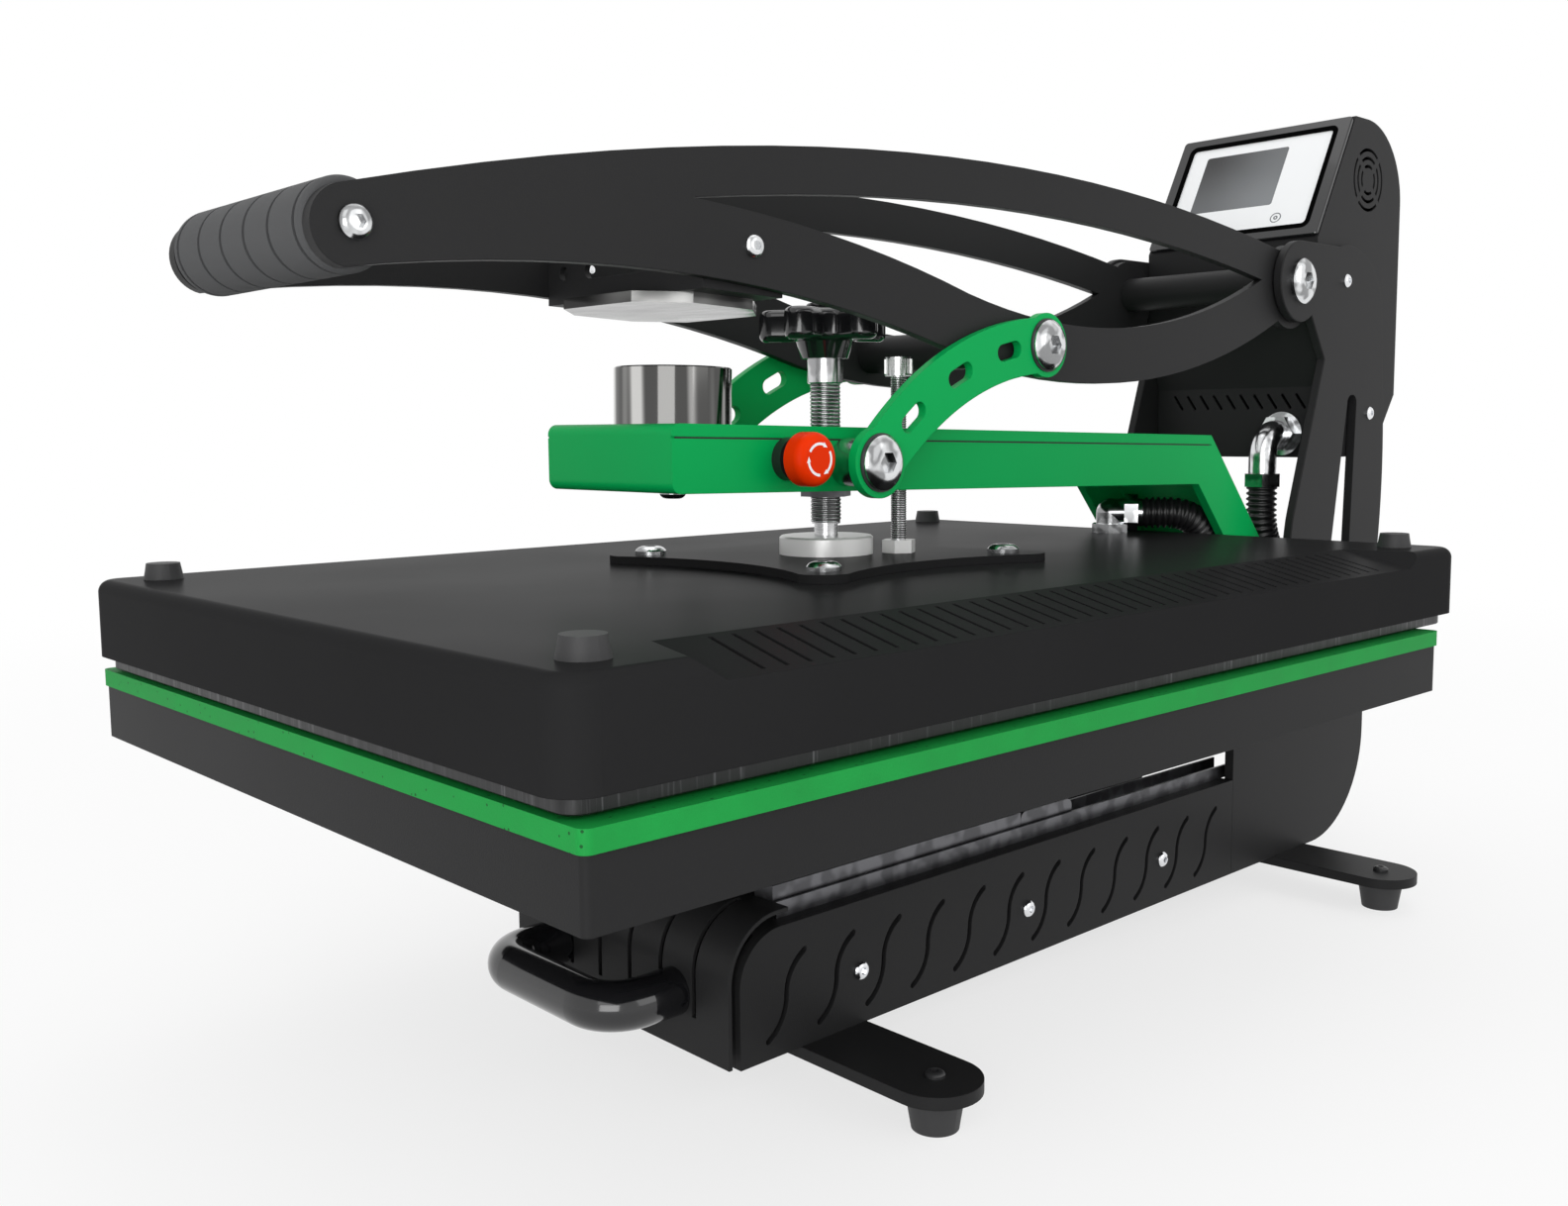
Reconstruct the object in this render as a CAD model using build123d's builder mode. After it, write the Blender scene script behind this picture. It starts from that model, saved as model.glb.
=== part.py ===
from build123d import *
import os
from math import asin, atan2, cos, degrees, hypot, radians, sin, sqrt, tan

os.makedirs("parts", exist_ok=True)

# Auto-open heat press for plates of 40 by 60 cm, real size in millimetres, +Z up.
# X is the operator's right, the operator stands at -Y, and the origin is on the
# bench below the middle of the machine. The pose is the one where the heat plate
# lies just above the pad and the magnet has not caught yet.

# Places along Y are reaches from the middle of the heat platen
press_y = -106.8

# Fits
edge_break = 0.6
slip = 0.1              # radial play of a pin that turns in its bore
gap = 0.3               # between neighbours that slide past each other
bolt_play = 0.5         # radial play of a bolt in its hole

# Shares of a button screw head's radius and height
socket_floor = 0.45
socket_share = 0.42
dome_share = 0.83
dome_rise = 0.8
rim_share = 0.5

# Foot bars and rubber feet
foot_height = 17.6
foot_top_radius = 14.0
foot_tip_radius = 11.0
foot_spread = 150.0
bar_length = 344.0
bar_width = 44.0
bar_thickness = 6.0
front_bar_reach = -80.0
rear_bar_reach = 357.0

# Chassis, one folded sheet
sheet = 3.0
chassis_half = 83.0
chassis_front_reach = -140.0
chassis_step_reach = 281.0
chassis_rear_reach = 458.0
chassis_wall_height = 62.0
chassis_cheek_height = 112.0
chassis_heel_radius = 70.0
chassis_cheek_round = 25.0
chassis_lip = 22.0

# Rail covers with their S-shaped slots
cover_plate = 3.0
rail_front_radius = 25.0
slot_count = 12
slot_pitch = 32.8
slot_first_reach = -111.5
slot_half_rise = 19.0
slot_half_run = 11.5
slot_width = 3.2
slot_lift = 28.0
rail_screw_bays = (1.5, 5.5, 9.5)
rail_screw_lift = 27.0
screw_head_radius = 4.6
screw_head_height = 2.6
screw_radius = 2.0

# Upright side plates
upright_inner = 68.0
upright_thickness = 6.0
upright_top = 435.6
upright_rear_reach = 500.0
upright_flat_reach = 428.0
upright_shoulder_reach = 476.0
upright_shoulder_z = 426.1
upright_shoulder_end_reach = 494.0
upright_shoulder_end_z = 398.6
upright_lobe_radius = 27.0
upright_neck_reach = 410.0
upright_neck_z = 357.6
upright_neck_radius = 30.0
upright_knee_reach = 372.0
upright_knee_z = 248.6
upright_knee_radius = 60.0
upright_bulge_reach = 500.0
upright_bulge_z = 230.6
upright_foot_front_reach = 332.0
upright_foot_rear_reach = 402.0
upright_heel_reach = 466.0
upright_heel_z = 100.6
window_top = 333.6
window_bottom = 145.6
window_front_reach = 446.0
window_rear_reach = 459.0
window_front_foot_reach = 412.0
window_rear_foot_reach = 450.0
window_corner = 6.0
box_screw_reach = 438.0
box_screw_z = 412.6
rear_screw_reach = 478.0
rear_screw_z = 320.6

# Pivots of the lifting linkage, in side view
arm_pivot_reach = 375.0
arm_pivot_z = 408.6
arm_shaft_radius = 8.0
link_top_reach = 98.0
link_top_z = 357.6
link_foot_reach = -34.0
link_foot_z = 296.6
beam_pivot_reach = 387.0
beam_pivot_z = 193.6
beam_pin_radius = 8.0
pivot_head_radius = 15.0
pivot_head_height = 5.5
pivot_bolt_radius = 5.0
pivot_bolt_length = 20.0

# Lever arms
arm_inner = 61.0
arm_thickness = 6.0
grip_reach = -303.0
grip_z = 389.6
arm_nose_reach = -320.0
arm_nose_start = -308.0
arm_crown_reach = 84.0
arm_crown_z = 451.6
arm_nose_top_z = 403.3
arm_nose_bottom_z = 373.4
arm_tail_start = 358.0
arm_tail_reach = 401.0
arm_tail_top_z = 428.3
arm_tail_bottom_z = 382.1
arm_belly_reach = 40.0
arm_belly_z = 349.4
arm_front_belly_reach = -190.0
arm_front_belly_z = 382.1
arm_rear_belly_reach = 151.0
arm_rear_belly_z = 337.7
eye_front_reach = -145.0
eye_front_z = 413.8
eye_rear_reach = 336.0
eye_rear_z = 407.8
eye_top_reach = 75.0
eye_top_z = 428.9
eye_waist_reach = 40.0
eye_waist_z = 382.6
eye_front_sag_reach = -66.0
eye_front_sag_z = 405.4
eye_rear_sag_reach = 150.0
eye_rear_sag_z = 369.5
tube_radius = 11.0
tube_wall = 2.5
pivot_tube_radius = 12.0
handle_bar_radius = 8.0
grip_radius = 17.8
grip_groove = 2.2
grip_groove_depth = 1.4
grip_grooves = 6
grip_pitch = 22.0
handle_bolt_head = 6.6
handle_bolt_height = 4.0
handle_screw_radius = 3.0
handle_bolt_length = 20.0
grip_round = 2.5
arm_screw_reach = -110.0
arm_screw_z = 395.6
arm_screw_head = 5.2
arm_screw_height = 3.0

# Catch bracket and its plate over the magnet
catch_reach = -111.0
catch_plate_z = 375.1
catch_plate_half = 47.0
catch_plate_thickness = 5.0
catch_plate_depth = 76.0
catch_plate_corner = 20.0
catch_tilt = 2.4
catch_sheet = 3.0
catch_depth = 48.0
catch_height = 26.0
catch_cheek_height = 33.0
catch_slot_length = 60.0
catch_slot_height = 8.0
catch_hole_x = -48.0
catch_hole_radius = 3.5

# Lifting beam
beam_half = 49.5
beam_front_reach = -145.0
beam_front_top_z = 316.6
beam_depth = 32.0
beam_slope = 1.27
beam_bend_reach = 307.0
beam_leg_angle = 47.6
beam_lobe_radius = 20.0
beam_boss_radius = 24.0
beam_wall = 3.0
beam_cheek = 6.0
beam_nose_radius = 5.0
seam_drop = 6.0
seam_width = 0.8
seam_depth = 0.6

# Electromagnet on the beam
magnet_reach = -105.0
magnet_radius = 29.0
magnet_height = 28.0
magnet_pole_radius = 13.0
magnet_groove = 4.0
magnet_groove_depth = 1.0
magnet_screw_head = 6.5
magnet_screw_height = 4.0
magnet_screw_radius = 3.0

# Curved links between arms and beam
link_inner = 68.5
link_thickness = 5.0
link_width = 30.0
link_lobe_radius = 17.5
link_radius = 189.0
link_slot_angles = (9.9, 22.6, 35.3)
link_slot_length = 20.0
link_slot_width = 9.0
link_bolt_head = 13.5
link_bolt_height = 5.5
link_bolt_radius = 6.0
link_boss_radius = 12.0

# Emergency stop on the beam's right side
stop_reach = -74.0
stop_collar_radius = 10.5
stop_collar_length = 6.0
stop_stem_radius = 7.0
stop_stem_root = 46.0
stop_head_radius = 13.0
stop_head_length = 12.0
stop_head_x = 60.0
stop_head_bore = 4.0
stop_head_round = 5.0

# Heat platen
plate_inset = 6.0
plate_bottom = 196.1
plate_thickness = 15.5
plate_corner = 8.0
cover_width = 420.0
cover_length = 630.0
cover_bottom = 202.8
cover_height = 38.4
cover_wall = 2.0
cover_corner = 14.0
cover_edge = 6.0
shoulder_width = 41.0
shoulder_drop = 8.6
shoulder_length = 500.0
shoulder_flare = 60.0
vent_count = 42
vent_pitch = 11.0
vent_first_reach = -228.5
vent_inset = 21.0
vent_length = 34.0
vent_width = 2.0
vent_angle = 7.0
bumper_x = 183.0
bumper_reach = 288.0
bumper_base_radius = 9.5
bumper_top_radius = 8.0
bumper_height = 8.0

# Mounting plate and thrust cap on the cover
mount_half = 88.0
mount_corner = 14.0
mount_waist = 70.0
mount_arc = 150.0
mount_thickness = 4.5
mount_screw_spread = 68.0
mount_screw_head = 8.5
mount_screw_height = 4.5
mount_screw_radius = 3.0
mount_screw_length = 6.0
cap_radius = 25.5
cap_height = 10.0
cap_lid = 3.0
cap_chamfer = 1.0
spindle_foot_radius = 11.0

# Pressure spindle and knob
spindle_radius = 7.8
neck_radius = 6.4
neck_length = 6.5
nut_radius = 14.0
nut_height = 4.0
collar_radius = 9.6
collar_bottom = 337.4
collar_height = 13.3
hub_height = 9.1
hub_top_radius = 17.0
hub_taper = 18.0
knob_height = 17.0
knob_core_radius = 19.0
knob_lobes = 5
knob_lobe_radius = 8.5
knob_reach = 36.0
knob_web_round = 5.0
knob_round = 4.0
knob_cap_radius = 10.0
knob_cap_height = 3.4
knob_cap_round = 1.5

# Guide bolt that keeps the platen from turning
guide_x = 25.0
guide_reach = 31.0
guide_radius = 4.0
guide_head_radius = 7.4
guide_head_height = 10.0
guide_head_top = 351.3
guide_socket_depth = 5.0
guide_nut_radius = 9.4
guide_nut_height = 7.0

# Lower plate, a drawer
pad_overhang = 1.2
pad_thickness = 8.3
pad_top = 194.6
pad_corner = 4.0
bed_width = 422.6
bed_length = 593.3
bed_height = 26.4
bed_wall = 2.0
bed_reach = -12.6
bed_corner = 3.0
web_front_reach = -200.0
web_rear_reach = 220.0
web_x = 68.0
web_thickness = 2.0
front_width = 172.0
front_reach = -147.0
front_bottom = 25.6
front_top = 93.6
front_bend = 30.0
front_sheet = 2.0
front_rear_reach = -110.0
front_slots = 6
front_slot_pitch = 24.5
front_slot_width = 3.0
front_slot_bottom = 43.6
front_slot_reach = -118.0
bow_radius = 11.5
bow_z = 52.6
bow_leg_x = 47.0
bow_depth = 38.0
bow_bend = 19.0

# Telescopic slides
slide_front_reach = -109.7
slide_rear_reach = 300.0
slide_inner_half = 59.5
slide_outer_half = 77.5
slide_sheet = 1.5
slide_lip = 8.0
middle_thickness = 3.0
middle_rear_reach = 123.0
middle_head_round = 4.0
inner_slide_rear_reach = 76.0
inner_slide_height = 10.0
inner_slide_half_width = 6.5

# Control box and screen
box_half = 67.5
box_sheet = 2.0
box_sill_reach = 408.0
box_sill_z = 440.6
box_crest_reach = 458.0
box_crest_z = 528.6
box_rear_reach = 531.0
box_crown_radius = 55.0
box_heel_z = 334.6
box_heel_reach = 514.0
box_heel_top_z = 311.6
box_bottom = 289.6
box_recess_reach = 424.0
box_shelf_z = 339.6
box_chin_z = 391.6
grille_reach = 479.0
grille_z = 486.6
grille_radii = (21.0, 15.2, 9.6)
grille_slot = 2.2
grille_bar = 4.0
louvre_count = 10
louvre_pitch = 11.0
louvre_length = 13.0
louvre_width = 2.0
louvre_z = 329.6
louvre_angle = -55.0
bezel_width = 134.0
bezel_height = 98.0
bezel_thickness = 3.0
bezel_corner = 3.0
screen_width = 113.0
screen_height = 80.0
screen_thickness = 2.0
screen_corner = 3.0
display_x = -9.0
display_rise = 6.0
display_width = 66.0
display_height = 50.0
display_corner = 2.0
display_depth = 0.8
inlet_width = 28.0
inlet_height = 22.0
inlet_flange_width = 40.0
inlet_flange_height = 28.0
inlet_x = 22.0
inlet_z = 365.6
inlet_depth = 16.0
inlet_flange = 2.0
inlet_corner = 4.0
inlet_mouth_width = 23.0
inlet_mouth_height = 16.0
inlet_pin_pitch = 7.0
inlet_pin_rise = 4.0
inlet_pin_thickness = 2.0
inlet_pin_width = 4.0
switch_x = -26.0
switch_width = 19.0
switch_height = 13.0
switch_lean = 1.2
switch_depth = 4.0
switch_proud_high = 3.4
switch_proud_low = 1.2
switch_waist = 1.6

# Conduit between control box and platen
hose_radius = 10.5
hose_root = 9.3
hose_bore = 7.5
hose_ribs = 44
elbow_radius = 9.5
elbow_wall = 2.0
elbow_flange_radius = 15.5
elbow_nut_radius = 13.5
elbow_nut_length = 9.0
elbow_flange_length = 5.0
upper_elbow_x = 38.0
upper_elbow_z = 306.6
upper_elbow_bend = 16.0
upper_elbow_end = 269.6
lower_elbow_x = -12.0
lower_elbow_reach = 283.0
lower_elbow_z = 254.6
lower_elbow_bend = 9.0
lower_elbow_run = 12.0
lower_elbow_turn = 55.0
lower_nut_length = 6.0
lower_nut_radius = 12.5
hose_lead = 32.0
hose_drop_reach = 424.0
hose_drop_top_z = 201.6
hose_drop_foot_z = 163.6
hose_sag_x = 36.0
hose_sag_rear_reach = 398.0
hose_sag_rear_z = 135.6
hose_sag_front_reach = 362.0
hose_sag_front_z = 137.6
hose_leg_x = 31.0
hose_leg_foot_reach = 344.0
hose_leg_foot_z = 165.6
hose_leg_middle_reach = 343.0
hose_leg_middle_z = 197.6
hose_leg_top_reach = 338.0
hose_leg_top_z = 231.6
hose_bend_share = 0.45

# Heights and faces that follow from the sizes above
bar_top = foot_height + bar_thickness
floor_top = bar_top + sheet
wall_top = bar_top + chassis_wall_height
cheek_top = bar_top + chassis_cheek_height
rail_outer = chassis_half + cover_plate
upright_outer = upright_inner + upright_thickness
arm_outer = arm_inner + arm_thickness
link_outer = link_inner + link_thickness
arm_pivot = (press_y + arm_pivot_reach, arm_pivot_z)
link_top = (press_y + link_top_reach, link_top_z)
link_foot = (press_y + link_foot_reach, link_foot_z)
beam_pivot = (press_y + beam_pivot_reach, beam_pivot_z)
cover_top = cover_bottom + cover_height
plate_width = cover_width - 2 * plate_inset
plate_length = cover_length - 2 * plate_inset
pad_width = bed_width + 2 * pad_overhang
pad_length = bed_length + 2 * pad_overhang
mount_top = cover_top + mount_thickness
cap_top = mount_top + cap_height
collar_top = collar_bottom + collar_height
hub_top = collar_top + hub_height
bed_top = pad_top - pad_thickness
bed_bottom = bed_top - bed_height
slide_floor = wall_top + slide_sheet
middle_bottom = slide_floor + gap
middle_top = middle_bottom + middle_thickness
inner_bottom = middle_top + gap
inner_top = inner_bottom + inner_slide_height
stop_z = beam_front_top_z - beam_depth / 2 - (stop_reach - beam_front_reach) * tan(radians(beam_slope))


def side(x):
    # The side view at this X, with Y to the right and Z up.
    return Plane.YZ.offset(x)


def at(reach, z):
    # A point of the side view, from its reach behind the platen's middle.
    return (press_y + reach, z)


# Foot bars with rounded ends, and the four tapered rubber feet
foot_places = [
    (s * foot_spread, press_y + reach) for s in (-1, 1) for reach in (front_bar_reach, rear_bar_reach)
]
with BuildPart() as foot_bars:
    with BuildSketch(Plane.XY.offset(foot_height)):
        for reach in (front_bar_reach, rear_bar_reach):
            with Locations((0, press_y + reach)):
                SlotOverall(bar_length, bar_width)
        with Locations(*foot_places):
            Circle(screw_radius + bolt_play, mode=Mode.SUBTRACT)
    extrude(amount=bar_thickness)
foot_bars.part.label = "foot_bars"
export_step(foot_bars.part, "parts/foot_bars.step")

with BuildPart() as rubber_feet:
    with BuildSketch():
        with Locations(*foot_places):
            Circle(foot_tip_radius)
    extrude(amount=foot_height, taper=-degrees(atan2(foot_top_radius - foot_tip_radius, foot_height)))
rubber_feet.part.label = "rubber_feet"
export_step(rubber_feet.part, "parts/rubber_feet.step")

# Chassis: floor, side walls with inward lips, and thick cheeks behind the rails
chassis_inner = chassis_half - sheet
with BuildPart() as chassis:
    with BuildSketch(side(-chassis_half)):
        with BuildLine():
            Polyline(
                at(chassis_front_reach, bar_top),
                at(chassis_front_reach, wall_top),
                at(chassis_step_reach, wall_top),
                at(chassis_step_reach, bar_top),
                close=True,
            )
        profile = make_face()
        fillet(profile.vertices().group_by(Axis.Y)[-1].sort_by(Axis.X)[0], rail_front_radius)
    extrude(amount=2 * chassis_half)
    with BuildSketch(side(-chassis_half - cover_plate)):
        with BuildLine():
            Polyline(
                at(chassis_step_reach, bar_top),
                at(chassis_step_reach, cheek_top),
                at(chassis_rear_reach, cheek_top),
                at(chassis_rear_reach, bar_top),
                close=True,
            )
        cheek = make_face()
        fillet(cheek.vertices().group_by(Axis.X)[-1].sort_by(Axis.Y)[0], chassis_heel_radius)
        fillet(cheek.vertices().group_by(Axis.Y)[-1].sort_by(Axis.X), chassis_cheek_round)
    extrude(amount=2 * (chassis_half + cover_plate))
    with BuildSketch(Plane.XZ.offset(-(press_y + chassis_front_reach) + sheet)):
        with Locations((0, (wall_top - sheet + floor_top) / 2)):
            Rectangle(2 * chassis_inner, wall_top - sheet - floor_top)
    extrude(amount=-(chassis_rear_reach - chassis_front_reach + 2 * sheet), mode=Mode.SUBTRACT)
    with BuildSketch(Plane.XY.offset(floor_top)):
        with Locations((0, press_y)):
            Rectangle(2 * (chassis_inner - chassis_lip), 2 * chassis_rear_reach + 2 * sheet)
        with Locations((0, press_y + (chassis_step_reach + chassis_rear_reach) / 2 + sheet)):
            Rectangle(2 * chassis_inner, chassis_rear_reach - chassis_step_reach + 2 * sheet)
    extrude(amount=cheek_top, mode=Mode.SUBTRACT)
chassis.part.label = "chassis"
export_step(chassis.part, "parts/chassis.step")


def s_slot(middle_reach, lift):
    # An S-shaped slot in side view, from two arcs that are upright where they meet.
    middle = at(middle_reach, bar_top + lift)
    top = (middle[0] + slot_half_run, middle[1] + slot_half_rise)
    bottom = (middle[0] - slot_half_run, middle[1] - slot_half_rise)
    upper = TangentArc(middle, top, tangent=(0, 1))
    lower = TangentArc(middle, bottom, tangent=(0, -1))
    return Wire([upper.edge(), lower.edge()])


# Rail covers on the chassis walls
rail_screw_reaches = [slot_first_reach + bay * slot_pitch for bay in rail_screw_bays]
slot_wires = [s_slot(slot_first_reach + n * slot_pitch, slot_lift) for n in range(slot_count)]
for name, x in (("rail_cover_left", -rail_outer), ("rail_cover_right", chassis_half)):
    with BuildPart() as rail_cover:
        with BuildSketch(side(x)):
            with BuildLine():
                Polyline(
                    at(chassis_front_reach, bar_top),
                    at(chassis_front_reach, wall_top),
                    at(chassis_step_reach - gap, wall_top),
                    at(chassis_step_reach - gap, bar_top),
                    close=True,
                )
            outline = make_face()
            fillet(outline.vertices().group_by(Axis.Y)[-1].sort_by(Axis.X)[0], rail_front_radius)
            for wire in slot_wires:
                SlotArc(wire, slot_width, mode=Mode.SUBTRACT)
            with Locations(*[at(reach, bar_top + rail_screw_lift) for reach in rail_screw_reaches]):
                Circle(screw_radius + bolt_play, mode=Mode.SUBTRACT)
        extrude(amount=cover_plate)
    rail_cover.part.label = name
    export_step(rail_cover.part, f"parts/{name}.step")

# Upright side plates with a lobe round the arm pivot and a tapered window
for name, x in (("side_plate_left", -upright_outer), ("side_plate_right", upright_inner)):
    with BuildPart() as side_plate:
        with BuildSketch(side(x)):
            with BuildLine():
                top = Line(at(arm_pivot_reach, upright_top), at(upright_flat_reach, upright_top))
                shoulder = ThreePointArc(
                    top @ 1,
                    at(upright_shoulder_reach, upright_shoulder_z),
                    at(upright_shoulder_end_reach, upright_shoulder_end_z),
                )
                back = Line(shoulder @ 1, at(upright_rear_reach, window_top))
                heel = ThreePointArc(
                    back @ 1,
                    at(upright_bulge_reach, upright_bulge_z),
                    at(upright_heel_reach, upright_heel_z),
                )
                Polyline(
                    heel @ 1,
                    at(upright_foot_rear_reach, floor_top),
                    at(upright_foot_front_reach, floor_top),
                    at(upright_knee_reach, upright_knee_z),
                    at(upright_neck_reach, upright_neck_z),
                    arm_pivot,
                    top @ 0,
                )
            plate = make_face()
            knee = plate.vertices().sort_by_distance((*at(upright_knee_reach, upright_knee_z), 0))[0]
            fillet(knee, upright_knee_radius)
            neck = plate.vertices().sort_by_distance((*at(upright_neck_reach, upright_neck_z), 0))[0]
            fillet(neck, upright_neck_radius)
            with Locations(arm_pivot):
                Circle(upright_lobe_radius)
            with Locations(beam_pivot):
                Circle(beam_boss_radius)
        extrude(amount=upright_thickness)
        with BuildSketch(side(x)):
            with BuildLine():
                Polyline(
                    at(window_front_reach, window_top),
                    at(window_rear_reach, window_top),
                    at(window_rear_foot_reach, window_bottom),
                    at(window_front_foot_reach, window_bottom),
                    close=True,
                )
            window = make_face()
            fillet(window.vertices(), window_corner)
            with Locations(arm_pivot):
                Circle(arm_shaft_radius + slip)
            with Locations(beam_pivot):
                Circle(beam_pin_radius + slip)
            with Locations(at(box_screw_reach, box_screw_z), at(rear_screw_reach, rear_screw_z)):
                Circle(screw_radius + bolt_play)
        extrude(amount=upright_thickness, mode=Mode.SUBTRACT)
        chamfer(side_plate.faces().filter_by(Axis.X).sort_by(Axis.X)[0].outer_wire().edges(), edge_break)
        chamfer(side_plate.faces().filter_by(Axis.X).sort_by(Axis.X)[-1].outer_wire().edges(), edge_break)
    side_plate.part.label = name
    export_step(side_plate.part, f"parts/{name}.step")

# Shafts that the arms and the beam turn on
with BuildPart() as pivot_shaft:
    with BuildSketch(side(-upright_outer)):
        with Locations(arm_pivot):
            Circle(arm_shaft_radius)
            Circle(pivot_bolt_radius + slip, mode=Mode.SUBTRACT)
    extrude(amount=2 * upright_outer)
pivot_shaft.part.label = "pivot_shaft"
export_step(pivot_shaft.part, "parts/pivot_shaft.step")

with BuildPart() as beam_shaft:
    with BuildSketch(side(-upright_outer)):
        with Locations(beam_pivot):
            Circle(beam_pin_radius)
    extrude(amount=2 * upright_outer)
beam_shaft.part.label = "beam_shaft"
export_step(beam_shaft.part, "parts/beam_shaft.step")


def button_screw(radius, height, shank_radius, shank):
    # A domed hex-socket screw along Z, with the underside of its head at zero.
    with BuildPart(mode=Mode.PRIVATE) as screw:
        with BuildSketch(Plane.XZ):
            with BuildLine():
                Polyline(
                    (0, height * socket_floor),
                    (0, -shank),
                    (shank_radius, -shank),
                    (shank_radius, 0),
                    (radius, 0),
                    (radius, height * socket_floor),
                )
                ThreePointArc(
                    (radius, height * socket_floor),
                    (radius * dome_share, height * dome_rise),
                    (radius * rim_share, height),
                )
                Line((radius * rim_share, height), (0, height))
                Line((0, height), (0, height * socket_floor))
            make_face()
        revolve(axis=Axis.Z)
        with BuildSketch(Plane.XY.offset(height * socket_floor)):
            RegularPolygon(radius * socket_share, 6)
        extrude(amount=height, mode=Mode.SUBTRACT)
    return screw.part


def on_side(sign, x, place):
    # A plane on a side face at a place of the side view, facing out along X.
    return Plane(origin=(sign * x, place[0], place[1]), x_dir=(0, sign, 0), z_dir=(sign, 0, 0))


# Bolts of the arm shaft, with a shank in each end of it
pivot_bolt = button_screw(pivot_head_radius, pivot_head_height, pivot_bolt_radius, pivot_bolt_length)
with BuildPart() as pivot_bolts:
    for sign in (-1, 1):
        with Locations(on_side(sign, upright_outer, arm_pivot).location):
            add(pivot_bolt)
pivot_bolts.part.label = "pivot_bolts"
export_step(pivot_bolts.part, "parts/pivot_bolts.step")

# Small screws of the rail covers, the uprights and the feet
rail_screw = button_screw(screw_head_radius, screw_head_height, screw_radius, cover_plate)
upright_screw = button_screw(screw_head_radius, screw_head_height, screw_radius, upright_thickness)
foot_screw = button_screw(screw_head_radius, screw_head_height, screw_radius, bar_thickness)
with BuildPart() as frame_screws:
    for sign in (-1, 1):
        for reach in rail_screw_reaches:
            with Locations(on_side(sign, rail_outer, at(reach, bar_top + rail_screw_lift)).location):
                add(rail_screw)
        for place in (at(box_screw_reach, box_screw_z), at(rear_screw_reach, rear_screw_z)):
            with Locations(on_side(sign, upright_outer, place).location):
                add(upright_screw)
    for (x, y) in foot_places:
        with Locations((x, y, bar_top)):
            add(foot_screw)
frame_screws.part.label = "frame_screws"
export_step(frame_screws.part, "parts/frame_screws.step")

# Lever arms with a long eye, and a bore for the shaft
for name, x in (("arm_left", -arm_outer), ("arm_right", arm_inner)):
    with BuildPart() as arm:
        with BuildSketch(side(x)):
            with BuildLine():
                crown = ThreePointArc(
                    at(arm_nose_start, arm_nose_top_z),
                    at(arm_crown_reach, arm_crown_z),
                    at(arm_tail_start, arm_tail_top_z),
                )
                tail = ThreePointArc(
                    crown @ 1,
                    at(arm_tail_reach, arm_pivot_z),
                    at(arm_tail_start, arm_tail_bottom_z),
                )
                rear_belly = ThreePointArc(
                    tail @ 1,
                    at(arm_rear_belly_reach, arm_rear_belly_z),
                    at(arm_belly_reach, arm_belly_z),
                )
                front_belly = ThreePointArc(
                    rear_belly @ 1,
                    at(arm_front_belly_reach, arm_front_belly_z),
                    at(arm_nose_start, arm_nose_bottom_z),
                )
                ThreePointArc(front_belly @ 1, at(arm_nose_reach, grip_z), crown @ 0)
            make_face()
        extrude(amount=arm_thickness)
        with BuildSketch(side(x)):
            with BuildLine():
                eye_top = ThreePointArc(
                    at(eye_front_reach, eye_front_z),
                    at(eye_top_reach, eye_top_z),
                    at(eye_rear_reach, eye_rear_z),
                )
                eye_rear = ThreePointArc(
                    eye_top @ 1,
                    at(eye_rear_sag_reach, eye_rear_sag_z),
                    at(eye_waist_reach, eye_waist_z),
                )
                ThreePointArc(eye_rear @ 1, at(eye_front_sag_reach, eye_front_sag_z), eye_top @ 0)
            make_face()
            with Locations(arm_pivot):
                Circle(arm_shaft_radius + slip)
            with Locations(at(grip_reach, grip_z)):
                Circle(handle_screw_radius + slip)
            with Locations(at(arm_screw_reach, arm_screw_z)):
                Circle(screw_radius + slip)
        extrude(amount=arm_thickness, mode=Mode.SUBTRACT)
    arm.part.label = name
    export_step(arm.part, f"parts/{name}.step")

# Tubes between the arms: one runs on the shaft, one braces the links' upper ends
with BuildPart() as arm_pivot_tube:
    with BuildSketch(side(-arm_inner)):
        with Locations(arm_pivot):
            Circle(pivot_tube_radius)
            Circle(arm_shaft_radius + slip, mode=Mode.SUBTRACT)
    extrude(amount=2 * arm_inner)
arm_pivot_tube.part.label = "arm_pivot_tube"
export_step(arm_pivot_tube.part, "parts/arm_pivot_tube.step")

with BuildPart() as arm_cross_tube:
    with BuildSketch(side(-arm_inner)):
        with Locations(link_top):
            Circle(tube_radius)
            Circle(tube_radius - tube_wall, mode=Mode.SUBTRACT)
    extrude(amount=2 * arm_inner)
arm_cross_tube.part.label = "arm_cross_tube"
export_step(arm_cross_tube.part, "parts/arm_cross_tube.step")

# Handle bar with its foam grip and the bolts in its ends
grip_place = at(grip_reach, grip_z)
with BuildPart() as handle_bar:
    with BuildSketch(side(-arm_inner)):
        with Locations(grip_place):
            Circle(handle_bar_radius)
            Circle(handle_screw_radius + slip, mode=Mode.SUBTRACT)
    extrude(amount=2 * arm_inner)
handle_bar.part.label = "handle_bar"
export_step(handle_bar.part, "parts/handle_bar.step")

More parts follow.
